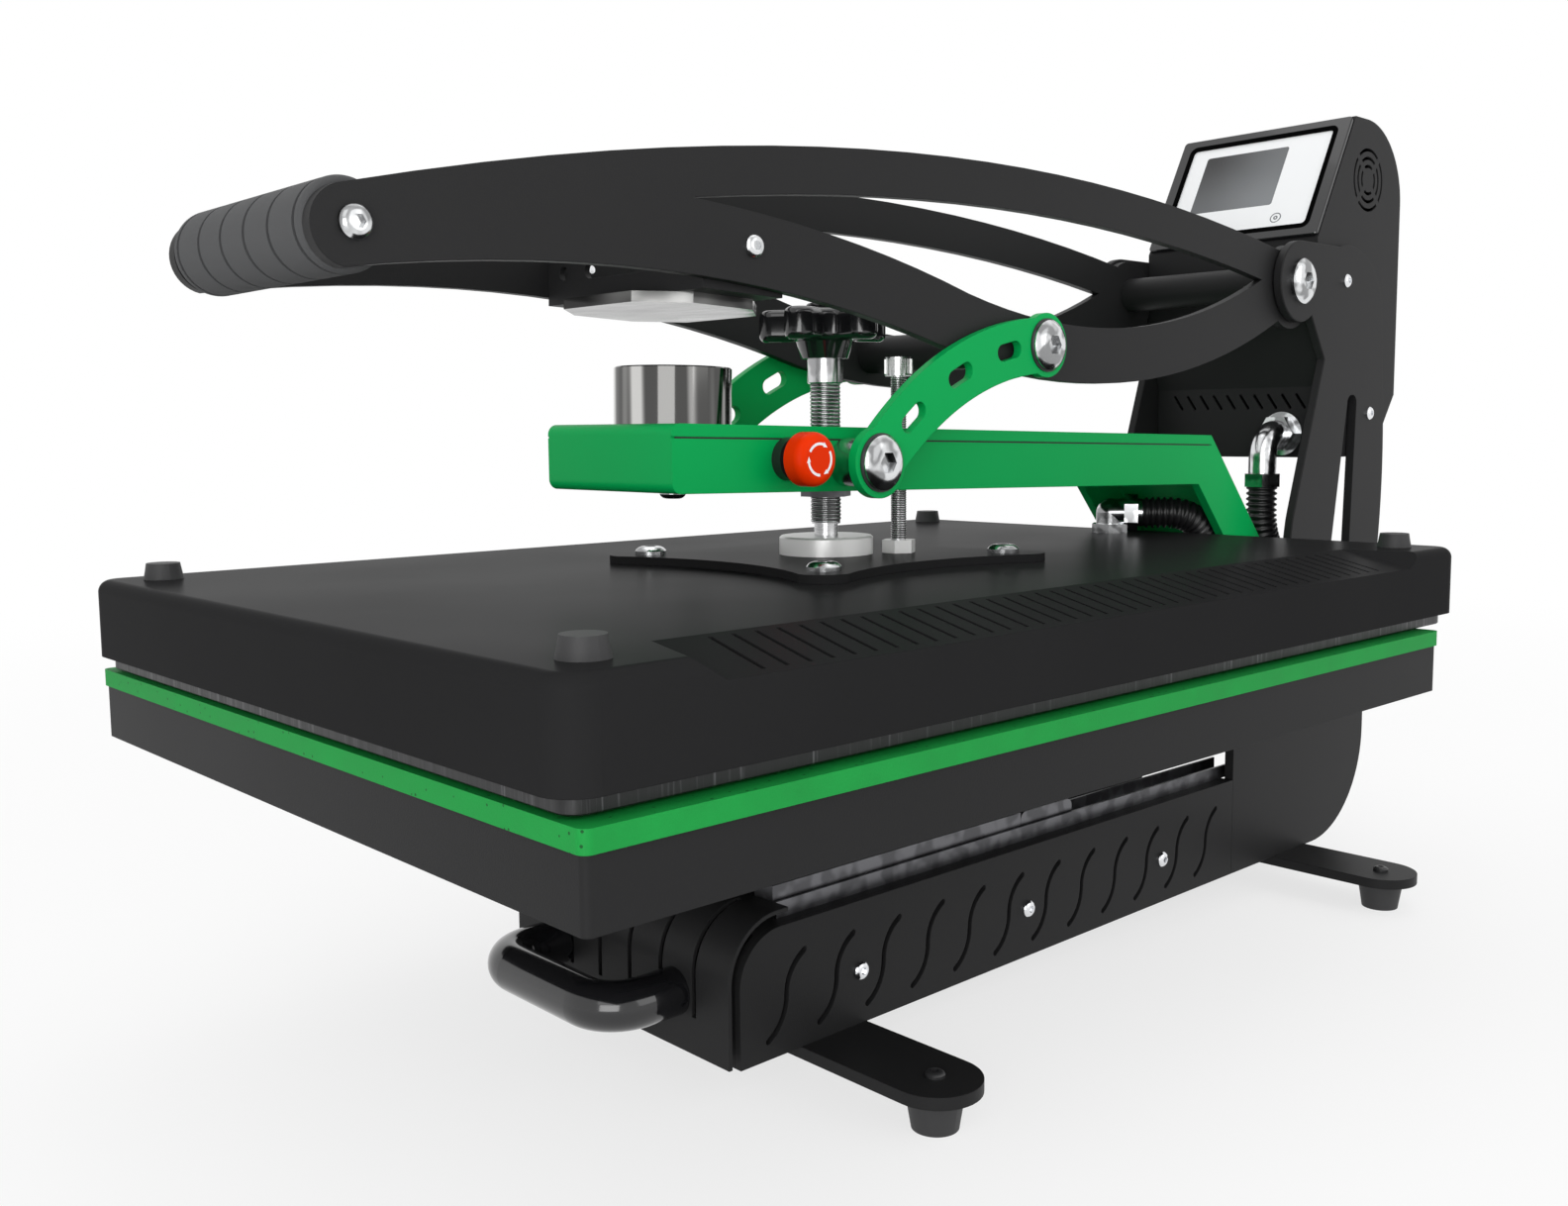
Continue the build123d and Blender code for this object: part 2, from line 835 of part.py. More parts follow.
grip_half = arm_inner - gap
groove_places = [(n - (grip_grooves - 1) / 2) * grip_pitch for n in range(grip_grooves)]
with BuildPart() as handle_grip:
    with BuildSketch(side(-grip_half)):
        with Locations(grip_place):
            Circle(grip_radius)
            Circle(handle_bar_radius + slip, mode=Mode.SUBTRACT)
    extrude(amount=2 * grip_half)
    fillet(handle_grip.faces().filter_by(Axis.X).edges().sort_by(SortBy.RADIUS)[-2:], grip_round)
    for x in groove_places:
        with BuildSketch(side(x - grip_groove / 2)):
            with Locations(grip_place):
                Circle(grip_radius + 1)
                Circle(grip_radius - grip_groove_depth, mode=Mode.SUBTRACT)
        extrude(amount=grip_groove, mode=Mode.SUBTRACT)
handle_grip.part.label = "handle_grip"
export_step(handle_grip.part, "parts/handle_grip.step")

handle_bolt = button_screw(handle_bolt_head, handle_bolt_height, handle_screw_radius, handle_bolt_length)
with BuildPart() as handle_bolts:
    for sign in (-1, 1):
        with Locations(on_side(sign, arm_outer, grip_place).location):
            add(handle_bolt)
handle_bolts.part.label = "handle_bolts"
export_step(handle_bolts.part, "parts/handle_bolts.step")

# Catch bracket, a folded pan between the arms, and the plate that the magnet holds
catch_plane = Plane(
    origin=(0, press_y + catch_reach, catch_plate_z),
    x_dir=(1, 0, 0),
    z_dir=(0, sin(radians(catch_tilt)), cos(radians(catch_tilt))),
)
with BuildPart() as catch_bracket:
    with BuildSketch(catch_plane):
        Rectangle(2 * arm_inner, catch_depth)
    extrude(amount=catch_cheek_height)
    with BuildSketch(catch_plane.offset(catch_sheet)):
        with Locations((0, catch_sheet)):
            Rectangle(2 * (arm_inner - catch_sheet), catch_depth)
    extrude(amount=catch_cheek_height, mode=Mode.SUBTRACT)
    with BuildSketch(catch_plane.offset(catch_height)):
        Rectangle(2 * (arm_inner - catch_sheet), catch_depth)
    extrude(amount=catch_cheek_height, mode=Mode.SUBTRACT)
    with BuildSketch(Plane.XZ.offset(-(press_y + catch_reach))):
        with Locations((0, catch_plate_z + catch_height / 2 + catch_sheet)):
            SlotOverall(catch_slot_length, catch_slot_height)
        with Locations((catch_hole_x, catch_plate_z + catch_height / 2 + catch_sheet)):
            Circle(catch_hole_radius)
    extrude(amount=catch_depth, mode=Mode.SUBTRACT)
    with BuildSketch(side(-arm_outer)):
        with Locations(at(arm_screw_reach, arm_screw_z)):
            Circle(screw_radius + slip)
    extrude(amount=2 * arm_outer, mode=Mode.SUBTRACT)
catch_bracket.part.label = "catch_bracket"
export_step(catch_bracket.part, "parts/catch_bracket.step")

with BuildPart() as catch_plate:
    with BuildSketch(catch_plane):
        Rectangle(2 * catch_plate_half, catch_plate_depth)
        chamfer(vertices(), catch_plate_corner)
    extrude(amount=-catch_plate_thickness)
catch_plate.part.label = "catch_plate"
export_step(catch_plate.part, "parts/catch_plate.step")

arm_screw = button_screw(arm_screw_head, arm_screw_height, screw_radius, arm_thickness + catch_sheet)
with BuildPart() as arm_screws:
    for sign in (-1, 1):
        with Locations(on_side(sign, arm_outer, at(arm_screw_reach, arm_screw_z)).location):
            add(arm_screw)
arm_screws.part.label = "arm_screws"
export_step(arm_screws.part, "parts/arm_screws.step")

# Lifting beam: a box section that bends down to its pivot between the uprights
slope = radians(beam_slope)
leg = radians(beam_leg_angle)
beam_run = beam_bend_reach - beam_front_reach
bend_top_z = beam_front_top_z - beam_run * tan(slope)


def beam_top_z(reach):
    return beam_front_top_z - (reach - beam_front_reach) * tan(slope)


def beam_outline(inset):
    # Corners of the beam's side view, moved in from the outside by an even inset.
    front = beam_front_reach + inset
    top = beam_top_z(front) - inset / cos(slope)
    bottom = beam_top_z(front) - (beam_depth - inset) / cos(slope)
    corner_turn = (leg - slope) / 2
    outer_reach = beam_bend_reach - inset * sin((leg + slope) / 2) / cos(corner_turn)
    outer_z = bend_top_z - inset * cos((leg + slope) / 2) / cos(corner_turn)
    inner_step = beam_depth - inset
    inner_reach = beam_bend_reach - inner_step * sin((leg + slope) / 2) / cos(corner_turn)
    inner_z = bend_top_z - inner_step * cos((leg + slope) / 2) / cos(corner_turn)
    drop = (outer_z - beam_pivot_z) / sin(leg)
    inner_drop = (inner_z - beam_pivot_z) / sin(leg)
    return [
        at(front, top),
        at(outer_reach, outer_z),
        at(outer_reach + drop * cos(leg), beam_pivot_z),
        at(inner_reach + inner_drop * cos(leg), beam_pivot_z),
        at(inner_reach, inner_z),
        at(front, bottom),
    ]


magnet_plane = Plane(
    origin=(0, press_y + magnet_reach, beam_top_z(magnet_reach)),
    x_dir=(1, 0, 0),
    z_dir=(0, sin(slope), cos(slope)),
)


def leg_mouth(corners):
    # The strip of the leg's inner wall that is left open for the conduit.
    (foot, bend) = corners[3:5]
    step = (-3 * beam_wall * sin(leg), -3 * beam_wall * cos(leg))
    return [foot, bend, (bend[0] + step[0], bend[1] + step[1]), (foot[0] + step[0], foot[1] + step[1])]


with BuildPart() as lift_beam:
    with BuildSketch(side(-beam_half)):
        with BuildLine():
            Polyline(*beam_outline(0), close=True)
        outline = make_face()
        fillet(outline.vertices().group_by(Axis.X)[0], beam_nose_radius)
        with Locations(beam_pivot):
            Circle(beam_lobe_radius)
    extrude(amount=2 * beam_half)
    with BuildSketch(side(-beam_half + beam_cheek)):
        with BuildLine():
            Polyline(*beam_outline(beam_wall), close=True)
        make_face()
        with Locations(beam_pivot):
            Circle(beam_lobe_radius + beam_wall)
    extrude(amount=2 * (beam_half - beam_cheek), mode=Mode.SUBTRACT)
    with BuildSketch(side(-beam_half + beam_cheek)):
        with BuildLine():
            Polyline(*leg_mouth(beam_outline(beam_wall)), close=True)
        make_face()
    extrude(amount=2 * (beam_half - beam_cheek), mode=Mode.SUBTRACT)
    with BuildSketch(side(-beam_half)):
        with Locations(beam_pivot):
            Circle(beam_pin_radius + slip)
    extrude(amount=2 * beam_half, mode=Mode.SUBTRACT)
    with BuildSketch(side(-beam_half)):
        with Locations(link_foot):
            Circle(link_bolt_radius + slip)
    extrude(amount=beam_cheek, mode=Mode.SUBTRACT)
    with BuildSketch(side(beam_half - beam_cheek)):
        with Locations(link_foot):
            Circle(link_bolt_radius + slip)
        with Locations(at(stop_reach, stop_z)):
            Circle(stop_stem_radius + slip)
    extrude(amount=beam_cheek, mode=Mode.SUBTRACT)
    with BuildSketch(Plane.XY.offset(cover_top)):
        with Locations((0, press_y)):
            Circle(spindle_radius + slip)
        with Locations((guide_x, press_y + guide_reach)):
            Circle(guide_radius + bolt_play)
    extrude(amount=beam_front_top_z - cover_top, mode=Mode.SUBTRACT)
    with BuildSketch(magnet_plane):
        Circle(magnet_screw_radius + bolt_play)
    extrude(amount=-2 * beam_depth, mode=Mode.SUBTRACT)
    for x in (-beam_half, beam_half - seam_depth):
        with BuildSketch(side(x)):
            with BuildLine():
                Polyline(
                    at(beam_front_reach, beam_top_z(beam_front_reach) - seam_drop),
                    at(beam_bend_reach, beam_top_z(beam_bend_reach) - seam_drop),
                    at(beam_bend_reach, beam_top_z(beam_bend_reach) - seam_drop - seam_width),
                    at(beam_front_reach, beam_top_z(beam_front_reach) - seam_drop - seam_width),
                    close=True,
                )
            make_face()
        extrude(amount=seam_depth, mode=Mode.SUBTRACT)
lift_beam.part.label = "lift_beam"
export_step(lift_beam.part, "parts/lift_beam.step")

# Electromagnet on the beam, with its pot groove, and the screw below it
with BuildPart() as magnet:
    with BuildSketch(magnet_plane):
        Circle(magnet_radius)
    extrude(amount=magnet_height)
    chamfer(magnet.faces().sort_by(Axis.Z)[-1].edges(), edge_break)
    with BuildSketch(magnet_plane.offset(magnet_height - magnet_groove_depth)):
        Circle(magnet_pole_radius + magnet_groove)
        Circle(magnet_pole_radius, mode=Mode.SUBTRACT)
    extrude(amount=magnet_height, mode=Mode.SUBTRACT)
    with BuildSketch(magnet_plane):
        Circle(magnet_screw_radius + slip)
    extrude(amount=magnet_height / 2, mode=Mode.SUBTRACT)
magnet.part.label = "magnet"
export_step(magnet.part, "parts/magnet.step")

magnet_screw_seat = magnet_plane.offset(-beam_depth).origin
magnet_screw_plane = Plane(magnet_screw_seat, x_dir=(1, 0, 0), z_dir=-magnet_plane.z_dir)
magnet_screw_shank = beam_depth + magnet_height / 2 - magnet_screw_height
with BuildPart() as magnet_screw:
    with Locations(magnet_screw_plane.location):
        add(button_screw(magnet_screw_head, magnet_screw_height, magnet_screw_radius, magnet_screw_shank))
magnet_screw.part.label = "magnet_screw"
export_step(magnet_screw.part, "parts/magnet_screw.step")

# Threaded nut under the beam, level with the spindle
nut_top = beam_top_z(nut_radius) - beam_depth / cos(slope) - gap / 2
with BuildPart() as spindle_nut:
    with BuildSketch(Plane.XY.offset(nut_top - nut_height)):
        with Locations((0, press_y)):
            RegularPolygon(nut_radius, 6)
            Circle(spindle_radius + slip, mode=Mode.SUBTRACT)
    extrude(amount=nut_height)
spindle_nut.part.label = "spindle_nut"
export_step(spindle_nut.part, "parts/spindle_nut.step")

# Collar of the emergency stop, and the two spacers behind the links
with BuildPart() as stop_collar:
    with BuildSketch(side(beam_half)):
        with Locations(at(stop_reach, stop_z)):
            Circle(stop_collar_radius)
            Circle(stop_stem_radius + slip, mode=Mode.SUBTRACT)
    extrude(amount=stop_collar_length)
stop_collar.part.label = "stop_collar"
export_step(stop_collar.part, "parts/stop_collar.step")

spacer_length = link_inner - gap - beam_half
with BuildPart() as link_spacers:
    for x in (-beam_half - spacer_length, beam_half):
        with BuildSketch(side(x)):
            with Locations(link_foot):
                Circle(link_boss_radius)
                Circle(link_bolt_radius + slip, mode=Mode.SUBTRACT)
        extrude(amount=spacer_length)
link_spacers.part.label = "link_spacers"
export_step(link_spacers.part, "parts/link_spacers.step")

# Emergency stop: a stem that slides in its collar and a mushroom head that turns on it
stop_place = at(stop_reach, stop_z)
with BuildPart() as stop_stem:
    with BuildSketch(side(stop_stem_root)):
        with Locations(stop_place):
            Circle(stop_stem_radius)
    extrude(amount=stop_head_x + stop_head_bore - gap - stop_stem_root)
stop_stem.part.label = "stop_stem"
export_step(stop_stem.part, "parts/stop_stem.step")

with BuildPart() as stop_head:
    with BuildSketch(side(stop_head_x)):
        with Locations(stop_place):
            Circle(stop_head_radius)
    extrude(amount=stop_head_length)
    fillet(stop_head.faces().sort_by(Axis.X)[-1].edges(), stop_head_round)
    chamfer(stop_head.faces().sort_by(Axis.X)[0].edges(), edge_break)
    with BuildSketch(side(stop_head_x)):
        with Locations(stop_place):
            Circle(stop_stem_radius + slip)
    extrude(amount=stop_head_bore, mode=Mode.SUBTRACT)
stop_head.part.label = "stop_head"
export_step(stop_head.part, "parts/stop_head.step")

# Curved links, each a bar along an arc with a lobe at both ends and three slots
link_half_chord = hypot(link_top[0] - link_foot[0], link_top[1] - link_foot[1]) / 2
link_turn = degrees(asin(link_half_chord / link_radius))
chord_angle = degrees(atan2(link_top[1] - link_foot[1], link_top[0] - link_foot[0]))
link_depth = sqrt(link_radius**2 - link_half_chord**2)
link_centre = (
    (link_top[0] + link_foot[0]) / 2 + link_depth * sin(radians(chord_angle)),
    (link_top[1] + link_foot[1]) / 2 - link_depth * cos(radians(chord_angle)),
)
link_start = chord_angle + 90 + link_turn
link_spine = CenterArc(link_centre, link_radius, link_start - 2 * link_turn, 2 * link_turn)
slot_turn = degrees((link_slot_length - link_slot_width) / link_radius)
slot_spines = [
    CenterArc(link_centre, link_radius, link_start - angle - slot_turn / 2, slot_turn)
    for angle in link_slot_angles
]
for name, x in (("link_left", -link_outer), ("link_right", link_inner)):
    with BuildPart() as link:
        with BuildSketch(side(x)):
            SlotArc(link_spine.edge(), link_width)
            with Locations(link_top, link_foot):
                Circle(link_lobe_radius)
            with Locations(link_top, link_foot):
                Circle(link_bolt_radius + slip, mode=Mode.SUBTRACT)
            for spine in slot_spines:
                SlotArc(spine.edge(), link_slot_width, mode=Mode.SUBTRACT)
        extrude(amount=link_thickness)
    link.part.label = name
    export_step(link.part, f"parts/{name}.step")

# Link bolts: the lower ones run in the spacers, the upper ones end inside the links
lower_bolt = button_screw(
    link_bolt_head, link_bolt_height, link_bolt_radius, link_outer - beam_half + beam_cheek
)
upper_bolt = button_screw(link_bolt_head, link_bolt_height, link_bolt_radius, link_thickness)
with BuildPart() as link_bolts:
    for sign in (-1, 1):
        with Locations(on_side(sign, link_outer, link_foot).location):
            add(lower_bolt)
        with Locations(on_side(sign, link_outer, link_top).location):
            add(upper_bolt)
link_bolts.part.label = "link_bolts"
export_step(link_bolts.part, "parts/link_bolts.step")

# Platen cover: an open-bottomed shell with a row of slanted vents
platen = (0, press_y)
shoulder_x = cover_width / 2 - shoulder_width
shoulder_lean = atan2(shoulder_drop, shoulder_width)


def shoulder_press(depth):
    # The wedge that lowers the cover's right shoulder, starting a depth under the cover's top.
    lean = Plane(
        origin=(shoulder_x, press_y, cover_top - depth),
        x_dir=(cos(shoulder_lean), 0, -sin(shoulder_lean)),
        z_dir=(sin(shoulder_lean), 0, cos(shoulder_lean)),
    )
    with BuildPart() as wedge:
        with BuildSketch(lean):
            with Locations((shoulder_width, 0)):
                Rectangle(2 * shoulder_width, shoulder_length)
        extrude(amount=cover_height, taper=-shoulder_flare)
    return wedge.part


room_width = cover_width - 2 * cover_wall
room_length = cover_length - 2 * cover_wall
with BuildPart() as cover_room:
    with BuildSketch(Plane.XY.offset(cover_bottom)):
        with Locations(platen):
            RectangleRounded(room_width, room_length, cover_corner - cover_wall)
    extrude(amount=cover_height - cover_wall)
    add(shoulder_press(cover_wall), mode=Mode.SUBTRACT)

with BuildPart() as platen_cover:
    with BuildSketch(Plane.XY.offset(cover_bottom)):
        with Locations(platen):
            RectangleRounded(cover_width, cover_length, cover_corner)
    extrude(amount=cover_height)
    fillet(platen_cover.faces().sort_by(Axis.Z)[-1].edges(), cover_edge)
    add(shoulder_press(0), mode=Mode.SUBTRACT)
    add(cover_room.part, mode=Mode.SUBTRACT)
    with BuildSketch(Plane.XY.offset(cover_top - shoulder_drop - cover_wall)):
        for n in range(vent_count):
            vent_y = press_y + vent_first_reach + n * vent_pitch
            with Locations(Location((cover_width / 2 - vent_inset, vent_y, 0), (0, 0, -vent_angle))):
                Rectangle(vent_length, vent_width)
    extrude(amount=shoulder_drop + cover_wall, mode=Mode.SUBTRACT)
    with BuildSketch(Plane.XY.offset(cover_top - cover_wall)):
        with Locations((0, press_y)):
            with GridLocations(2 * mount_screw_spread, 2 * mount_screw_spread, 2, 2):
                Circle(mount_screw_radius + bolt_play)
        with Locations((lower_elbow_x, press_y + lower_elbow_reach)):
            Circle(elbow_radius - elbow_wall)
    extrude(amount=cover_wall, mode=Mode.SUBTRACT)
platen_cover.part.label = "platen_cover"
export_step(platen_cover.part, "parts/platen_cover.step")

# Heat plate with the insulation between it and the cover
plate_top = plate_bottom + plate_thickness
with BuildPart() as heat_plate:
    with BuildSketch(Plane.XY.offset(plate_bottom)):
        with Locations(platen):
            RectangleRounded(plate_width, plate_length, plate_corner)
    extrude(amount=plate_thickness)
    chamfer(heat_plate.faces().sort_by(Axis.Z)[0].edges(), edge_break)
heat_plate.part.label = "heat_plate"
export_step(heat_plate.part, "parts/heat_plate.step")

with BuildPart() as insulation:
    with BuildSketch(Plane.XY.offset(plate_top)):
        with Locations(platen):
            RectangleRounded(plate_width, plate_length, plate_corner)
            with GridLocations(2 * mount_screw_spread, 2 * mount_screw_spread, 2, 2):
                Circle(mount_screw_radius + bolt_play, mode=Mode.SUBTRACT)
    extrude(amount=cover_top - cover_wall - plate_top)
    add(shoulder_press(cover_wall), mode=Mode.SUBTRACT)
insulation.part.label = "insulation"
export_step(insulation.part, "parts/insulation.step")

# Rubber bumpers on the cover's corners
with BuildPart() as bumpers:
    with BuildSketch(Plane.XY.offset(cover_top)):
        with Locations(platen):
            with GridLocations(2 * bumper_x, 2 * bumper_reach, 2, 2):
                Circle(bumper_base_radius)
    bumper_taper = degrees(atan2(bumper_base_radius - bumper_top_radius, bumper_height))
    extrude(amount=bumper_height, taper=bumper_taper)
bumpers.part.label = "bumpers"
export_step(bumpers.part, "parts/bumpers.step")

# Mounting plate: a square with four hollow sides
with BuildPart() as mount_plate:
    with BuildSketch(Plane.XY.offset(cover_top)):
        with Locations(platen):
            RectangleRounded(2 * mount_half, 2 * mount_half, mount_corner)
            with PolarLocations(mount_waist + mount_arc, 4):
                Circle(mount_arc, mode=Mode.SUBTRACT)
            with GridLocations(2 * mount_screw_spread, 2 * mount_screw_spread, 2, 2):
                Circle(mount_screw_radius + bolt_play, mode=Mode.SUBTRACT)
    extrude(amount=mount_thickness)
mount_plate.part.label = "mount_plate"
export_step(mount_plate.part, "parts/mount_plate.step")

mount_shank = mount_thickness + cover_wall + mount_screw_length
mount_screw = button_screw(mount_screw_head, mount_screw_height, mount_screw_radius, mount_shank)
with BuildPart() as mount_screws:
    with Locations((0, press_y, mount_top)):
        with GridLocations(2 * mount_screw_spread, 2 * mount_screw_spread, 2, 2):
            add(mount_screw)
mount_screws.part.label = "mount_screws"
export_step(mount_screws.part, "parts/mount_screws.step")

# Thrust cap that holds the spindle's foot on the mounting plate
foot_bottom = mount_top + slip
neck_top = cap_top + neck_length
with BuildPart() as spindle_disc:
    with BuildSketch(Plane.XY.offset(mount_top)):
        with Locations(platen):
            Circle(cap_radius)
            Circle(neck_radius + slip, mode=Mode.SUBTRACT)
    extrude(amount=cap_height)
    chamfer(spindle_disc.faces().sort_by(Axis.Z)[-1].outer_wire().edges(), cap_chamfer)
    with BuildSketch(Plane.XY.offset(mount_top)):
        with Locations(platen):
            Circle(spindle_foot_radius + slip)
    extrude(amount=cap_height - cap_lid, mode=Mode.SUBTRACT)
spindle_disc.part.label = "spindle_disc"
export_step(spindle_disc.part, "parts/spindle_disc.step")

# Spindle: a foot in the cap, a plain neck and the threaded length through the nut
with BuildPart() as spindle:
    with BuildSketch(Plane.XY.offset(foot_bottom)):
        with Locations(platen):
            Circle(spindle_foot_radius)
    extrude(amount=cap_top - cap_lid - slip - foot_bottom)
    with BuildSketch(Plane.XY.offset(foot_bottom)):
        with Locations(platen):
            Circle(neck_radius)
    extrude(amount=neck_top - foot_bottom)
    with BuildSketch(Plane.XY.offset(neck_top)):
        with Locations(platen):
            Circle(spindle_radius)
    extrude(amount=hub_top - neck_top)
spindle.part.label = "spindle"
export_step(spindle.part, "parts/spindle.step")

with BuildPart() as spindle_collar:
    with BuildSketch(Plane.XY.offset(collar_bottom)):
        with Locations(platen):
            Circle(collar_radius)
            Circle(spindle_radius, mode=Mode.SUBTRACT)
    extrude(amount=collar_height)
    chamfer(spindle_collar.faces().filter_by(Axis.Z).sort_by(Axis.Z)[0].outer_wire().edges(), edge_break)
spindle_collar.part.label = "spindle_collar"
export_step(spindle_collar.part, "parts/spindle_collar.step")

# Pressure knob: a cone-shaped hub under a round body with finger lobes
with BuildPart() as knob:
    with BuildSketch(Plane.XY.offset(hub_top)):
        with Locations(platen):
            Circle(knob_core_radius)
            with PolarLocations(0, knob_lobes):
                with Locations(((knob_reach - knob_lobe_radius) / 2, 0)):
                    Rectangle(knob_reach - knob_lobe_radius, 2 * knob_lobe_radius)
                with Locations((knob_reach - knob_lobe_radius, 0)):
                    Circle(knob_lobe_radius)
        corners = vertices().filter_by(lambda v: hypot(v.X, v.Y - press_y) < knob_core_radius + 1)
        fillet(corners, knob_web_round)
    extrude(amount=knob_height)
    fillet(knob.faces().sort_by(Axis.Z)[-1].edges(), knob_round)
    fillet(knob.faces().sort_by(Axis.Z)[0].edges(), knob_round)
    with BuildSketch(Plane.XY.offset(hub_top + knob_height)):
        with Locations(platen):
            Circle(knob_cap_radius)
    extrude(amount=knob_cap_height)
    fillet(knob.faces().sort_by(Axis.Z)[-1].edges(), knob_cap_round)
    with BuildSketch(Plane.XY.offset(hub_top + knob_round)):
        with Locations(platen):
            Circle(hub_top_radius)
    extrude(amount=-(hub_height + knob_round), taper=hub_taper)
    with BuildSketch(Plane.XY.offset(collar_top)):
        with Locations(platen):
            Circle(spindle_radius)
    extrude(amount=hub_height, mode=Mode.SUBTRACT)
knob.part.label = "knob"
export_step(knob.part, "parts/knob.step")

# Guide bolt that stands on the platen and slides through the beam
guide_place = (guide_x, press_y + guide_reach)
with BuildPart() as guide_bolt:
    with BuildSketch(Plane.XY.offset(mount_top)):
        with Locations(guide_place):
            Circle(guide_radius)
    extrude(amount=guide_head_top - mount_top)
    with BuildSketch(Plane.XY.offset(guide_head_top - guide_head_height)):
        with Locations(guide_place):
            Circle(guide_head_radius)
    extrude(amount=guide_head_height)
    with BuildSketch(Plane.XY.offset(guide_head_top - guide_socket_depth)):
        with Locations(guide_place):
            RegularPolygon(guide_radius, 6)
    extrude(amount=guide_socket_depth, mode=Mode.SUBTRACT)
guide_bolt.part.label = "guide_bolt"
export_step(guide_bolt.part, "parts/guide_bolt.step")

with BuildPart() as guide_nut:
    with BuildSketch(Plane.XY.offset(mount_top)):
        with Locations(guide_place):
            RegularPolygon(guide_nut_radius, 6)
            Circle(guide_radius + slip, mode=Mode.SUBTRACT)
    extrude(amount=guide_nut_height)
guide_nut.part.label = "guide_nut"
export_step(guide_nut.part, "parts/guide_nut.step")

# Pad and tray of the lower plate, which slides out as a drawer
bed_place = (0, press_y + bed_reach)
with BuildPart() as press_pad:
    with BuildSketch(Plane.XY.offset(bed_top)):
        with Locations(bed_place):
            RectangleRounded(pad_width, pad_length, pad_corner)
    extrude(amount=pad_thickness)
press_pad.part.label = "press_pad"
export_step(press_pad.part, "parts/press_pad.step")

with BuildPart() as lower_box:
    with BuildSketch(Plane.XY.offset(bed_bottom)):
        with Locations(bed_place):
            Rectangle(bed_width, bed_length)
    extrude(amount=bed_height)
    fillet(lower_box.edges().filter_by(Axis.Z), bed_corner)
    with BuildSketch(Plane.XY.offset(bed_bottom)):
        with Locations(bed_place):
            Rectangle(bed_width - 2 * bed_wall, bed_length - 2 * bed_wall)
    extrude(amount=bed_height - bed_wall, mode=Mode.SUBTRACT)
    for sign in (-1, 1):
        with BuildSketch(side(sign * web_x - web_thickness / 2)):
            with BuildLine():
                Polyline(
                    at(slide_front_reach, inner_top),
                    at(web_front_reach, bed_bottom),
                    at(web_front_reach, bed_top - bed_wall),
                    at(web_rear_reach, bed_top - bed_wall),
                    at(web_rear_reach, bed_bottom),
                    at(inner_slide_rear_reach, inner_top),
                    close=True,
                )
            make_face()
        extrude(amount=web_thickness)
lower_box.part.label = "lower_box"
export_step(lower_box.part, "parts/lower_box.step")

# Drawer front: a bent sheet with six slots that run over its top edge
with BuildPart() as drawer_front:
    with BuildSketch(side(-front_width / 2)):
        bend = at(front_reach + front_bend, front_top - front_bend)
        with BuildLine():
            outside = CenterArc(bend, front_bend, 90, 90)
            inside = CenterArc(bend, front_bend - front_sheet, 90, 90)
            Polyline(
                outside @ 1,
                at(front_reach, front_bottom),
                at(front_reach + front_sheet, front_bottom),
                inside @ 1,
            )
            Polyline(
                outside @ 0,
                at(front_rear_reach, front_top),
                at(front_rear_reach, front_top - front_sheet),
                inside @ 0,
            )
        make_face()
    extrude(amount=front_width)
    for n in range(front_slots):
        x = (n - (front_slots - 1) / 2) * front_slot_pitch
        with BuildSketch(side(x - front_slot_width / 2)):
            with BuildLine():
                Polyline(
                    at(front_reach, front_slot_bottom),
                    at(front_reach, front_top),
                    at(front_slot_reach, front_top),
                    at(front_slot_reach, front_slot_bottom),
                    close=True,
                )
            make_face()
        extrude(amount=front_slot_width, mode=Mode.SUBTRACT)
drawer_front.part.label = "drawer_front"
export_step(drawer_front.part, "parts/drawer_front.step")

# Bow handle
bow_y = press_y + front_reach
with BuildPart() as drawer_handle:
    with BuildLine(Plane.XY.offset(bow_z)):
        FilletPolyline(
            (-bow_leg_x, bow_y),
            (-bow_leg_x, bow_y - bow_depth),
            (bow_leg_x, bow_y - bow_depth),
            (bow_leg_x, bow_y),
            radius=bow_bend,
        )
    with BuildSketch(Plane((-bow_leg_x, bow_y, bow_z), x_dir=(1, 0, 0), z_dir=(0, -1, 0))):
        Circle(bow_radius)
    sweep()
drawer_handle.part.label = "drawer_handle"
export_step(drawer_handle.part, "parts/drawer_handle.step")


def slide_section(y):
    # A cross-section plane at this Y, with X to the right and Z up.
    return Plane.XZ.offset(-y)


# Telescopic slides: a channel on each lip, a flat middle member and a drawer member
slide_middle_x = (slide_inner_half + slide_outer_half) / 2
slide_length = slide_rear_reach - slide_front_reach
slide_width = slide_outer_half - slide_inner_half
with BuildPart() as outer_slides:
    with BuildSketch(slide_section(press_y + slide_front_reach)):
        for sign in (-1, 1):
            with Locations((sign * slide_middle_x, wall_top + slide_lip / 2)):
                Rectangle(slide_width, slide_lip)
            with Locations((sign * slide_middle_x, slide_floor + slide_lip / 2)):
                Rectangle(slide_width - 2 * slide_sheet, slide_lip, mode=Mode.SUBTRACT)
    extrude(amount=-slide_length)
outer_slides.part.label = "outer_slides"
export_step(outer_slides.part, "parts/outer_slides.step")

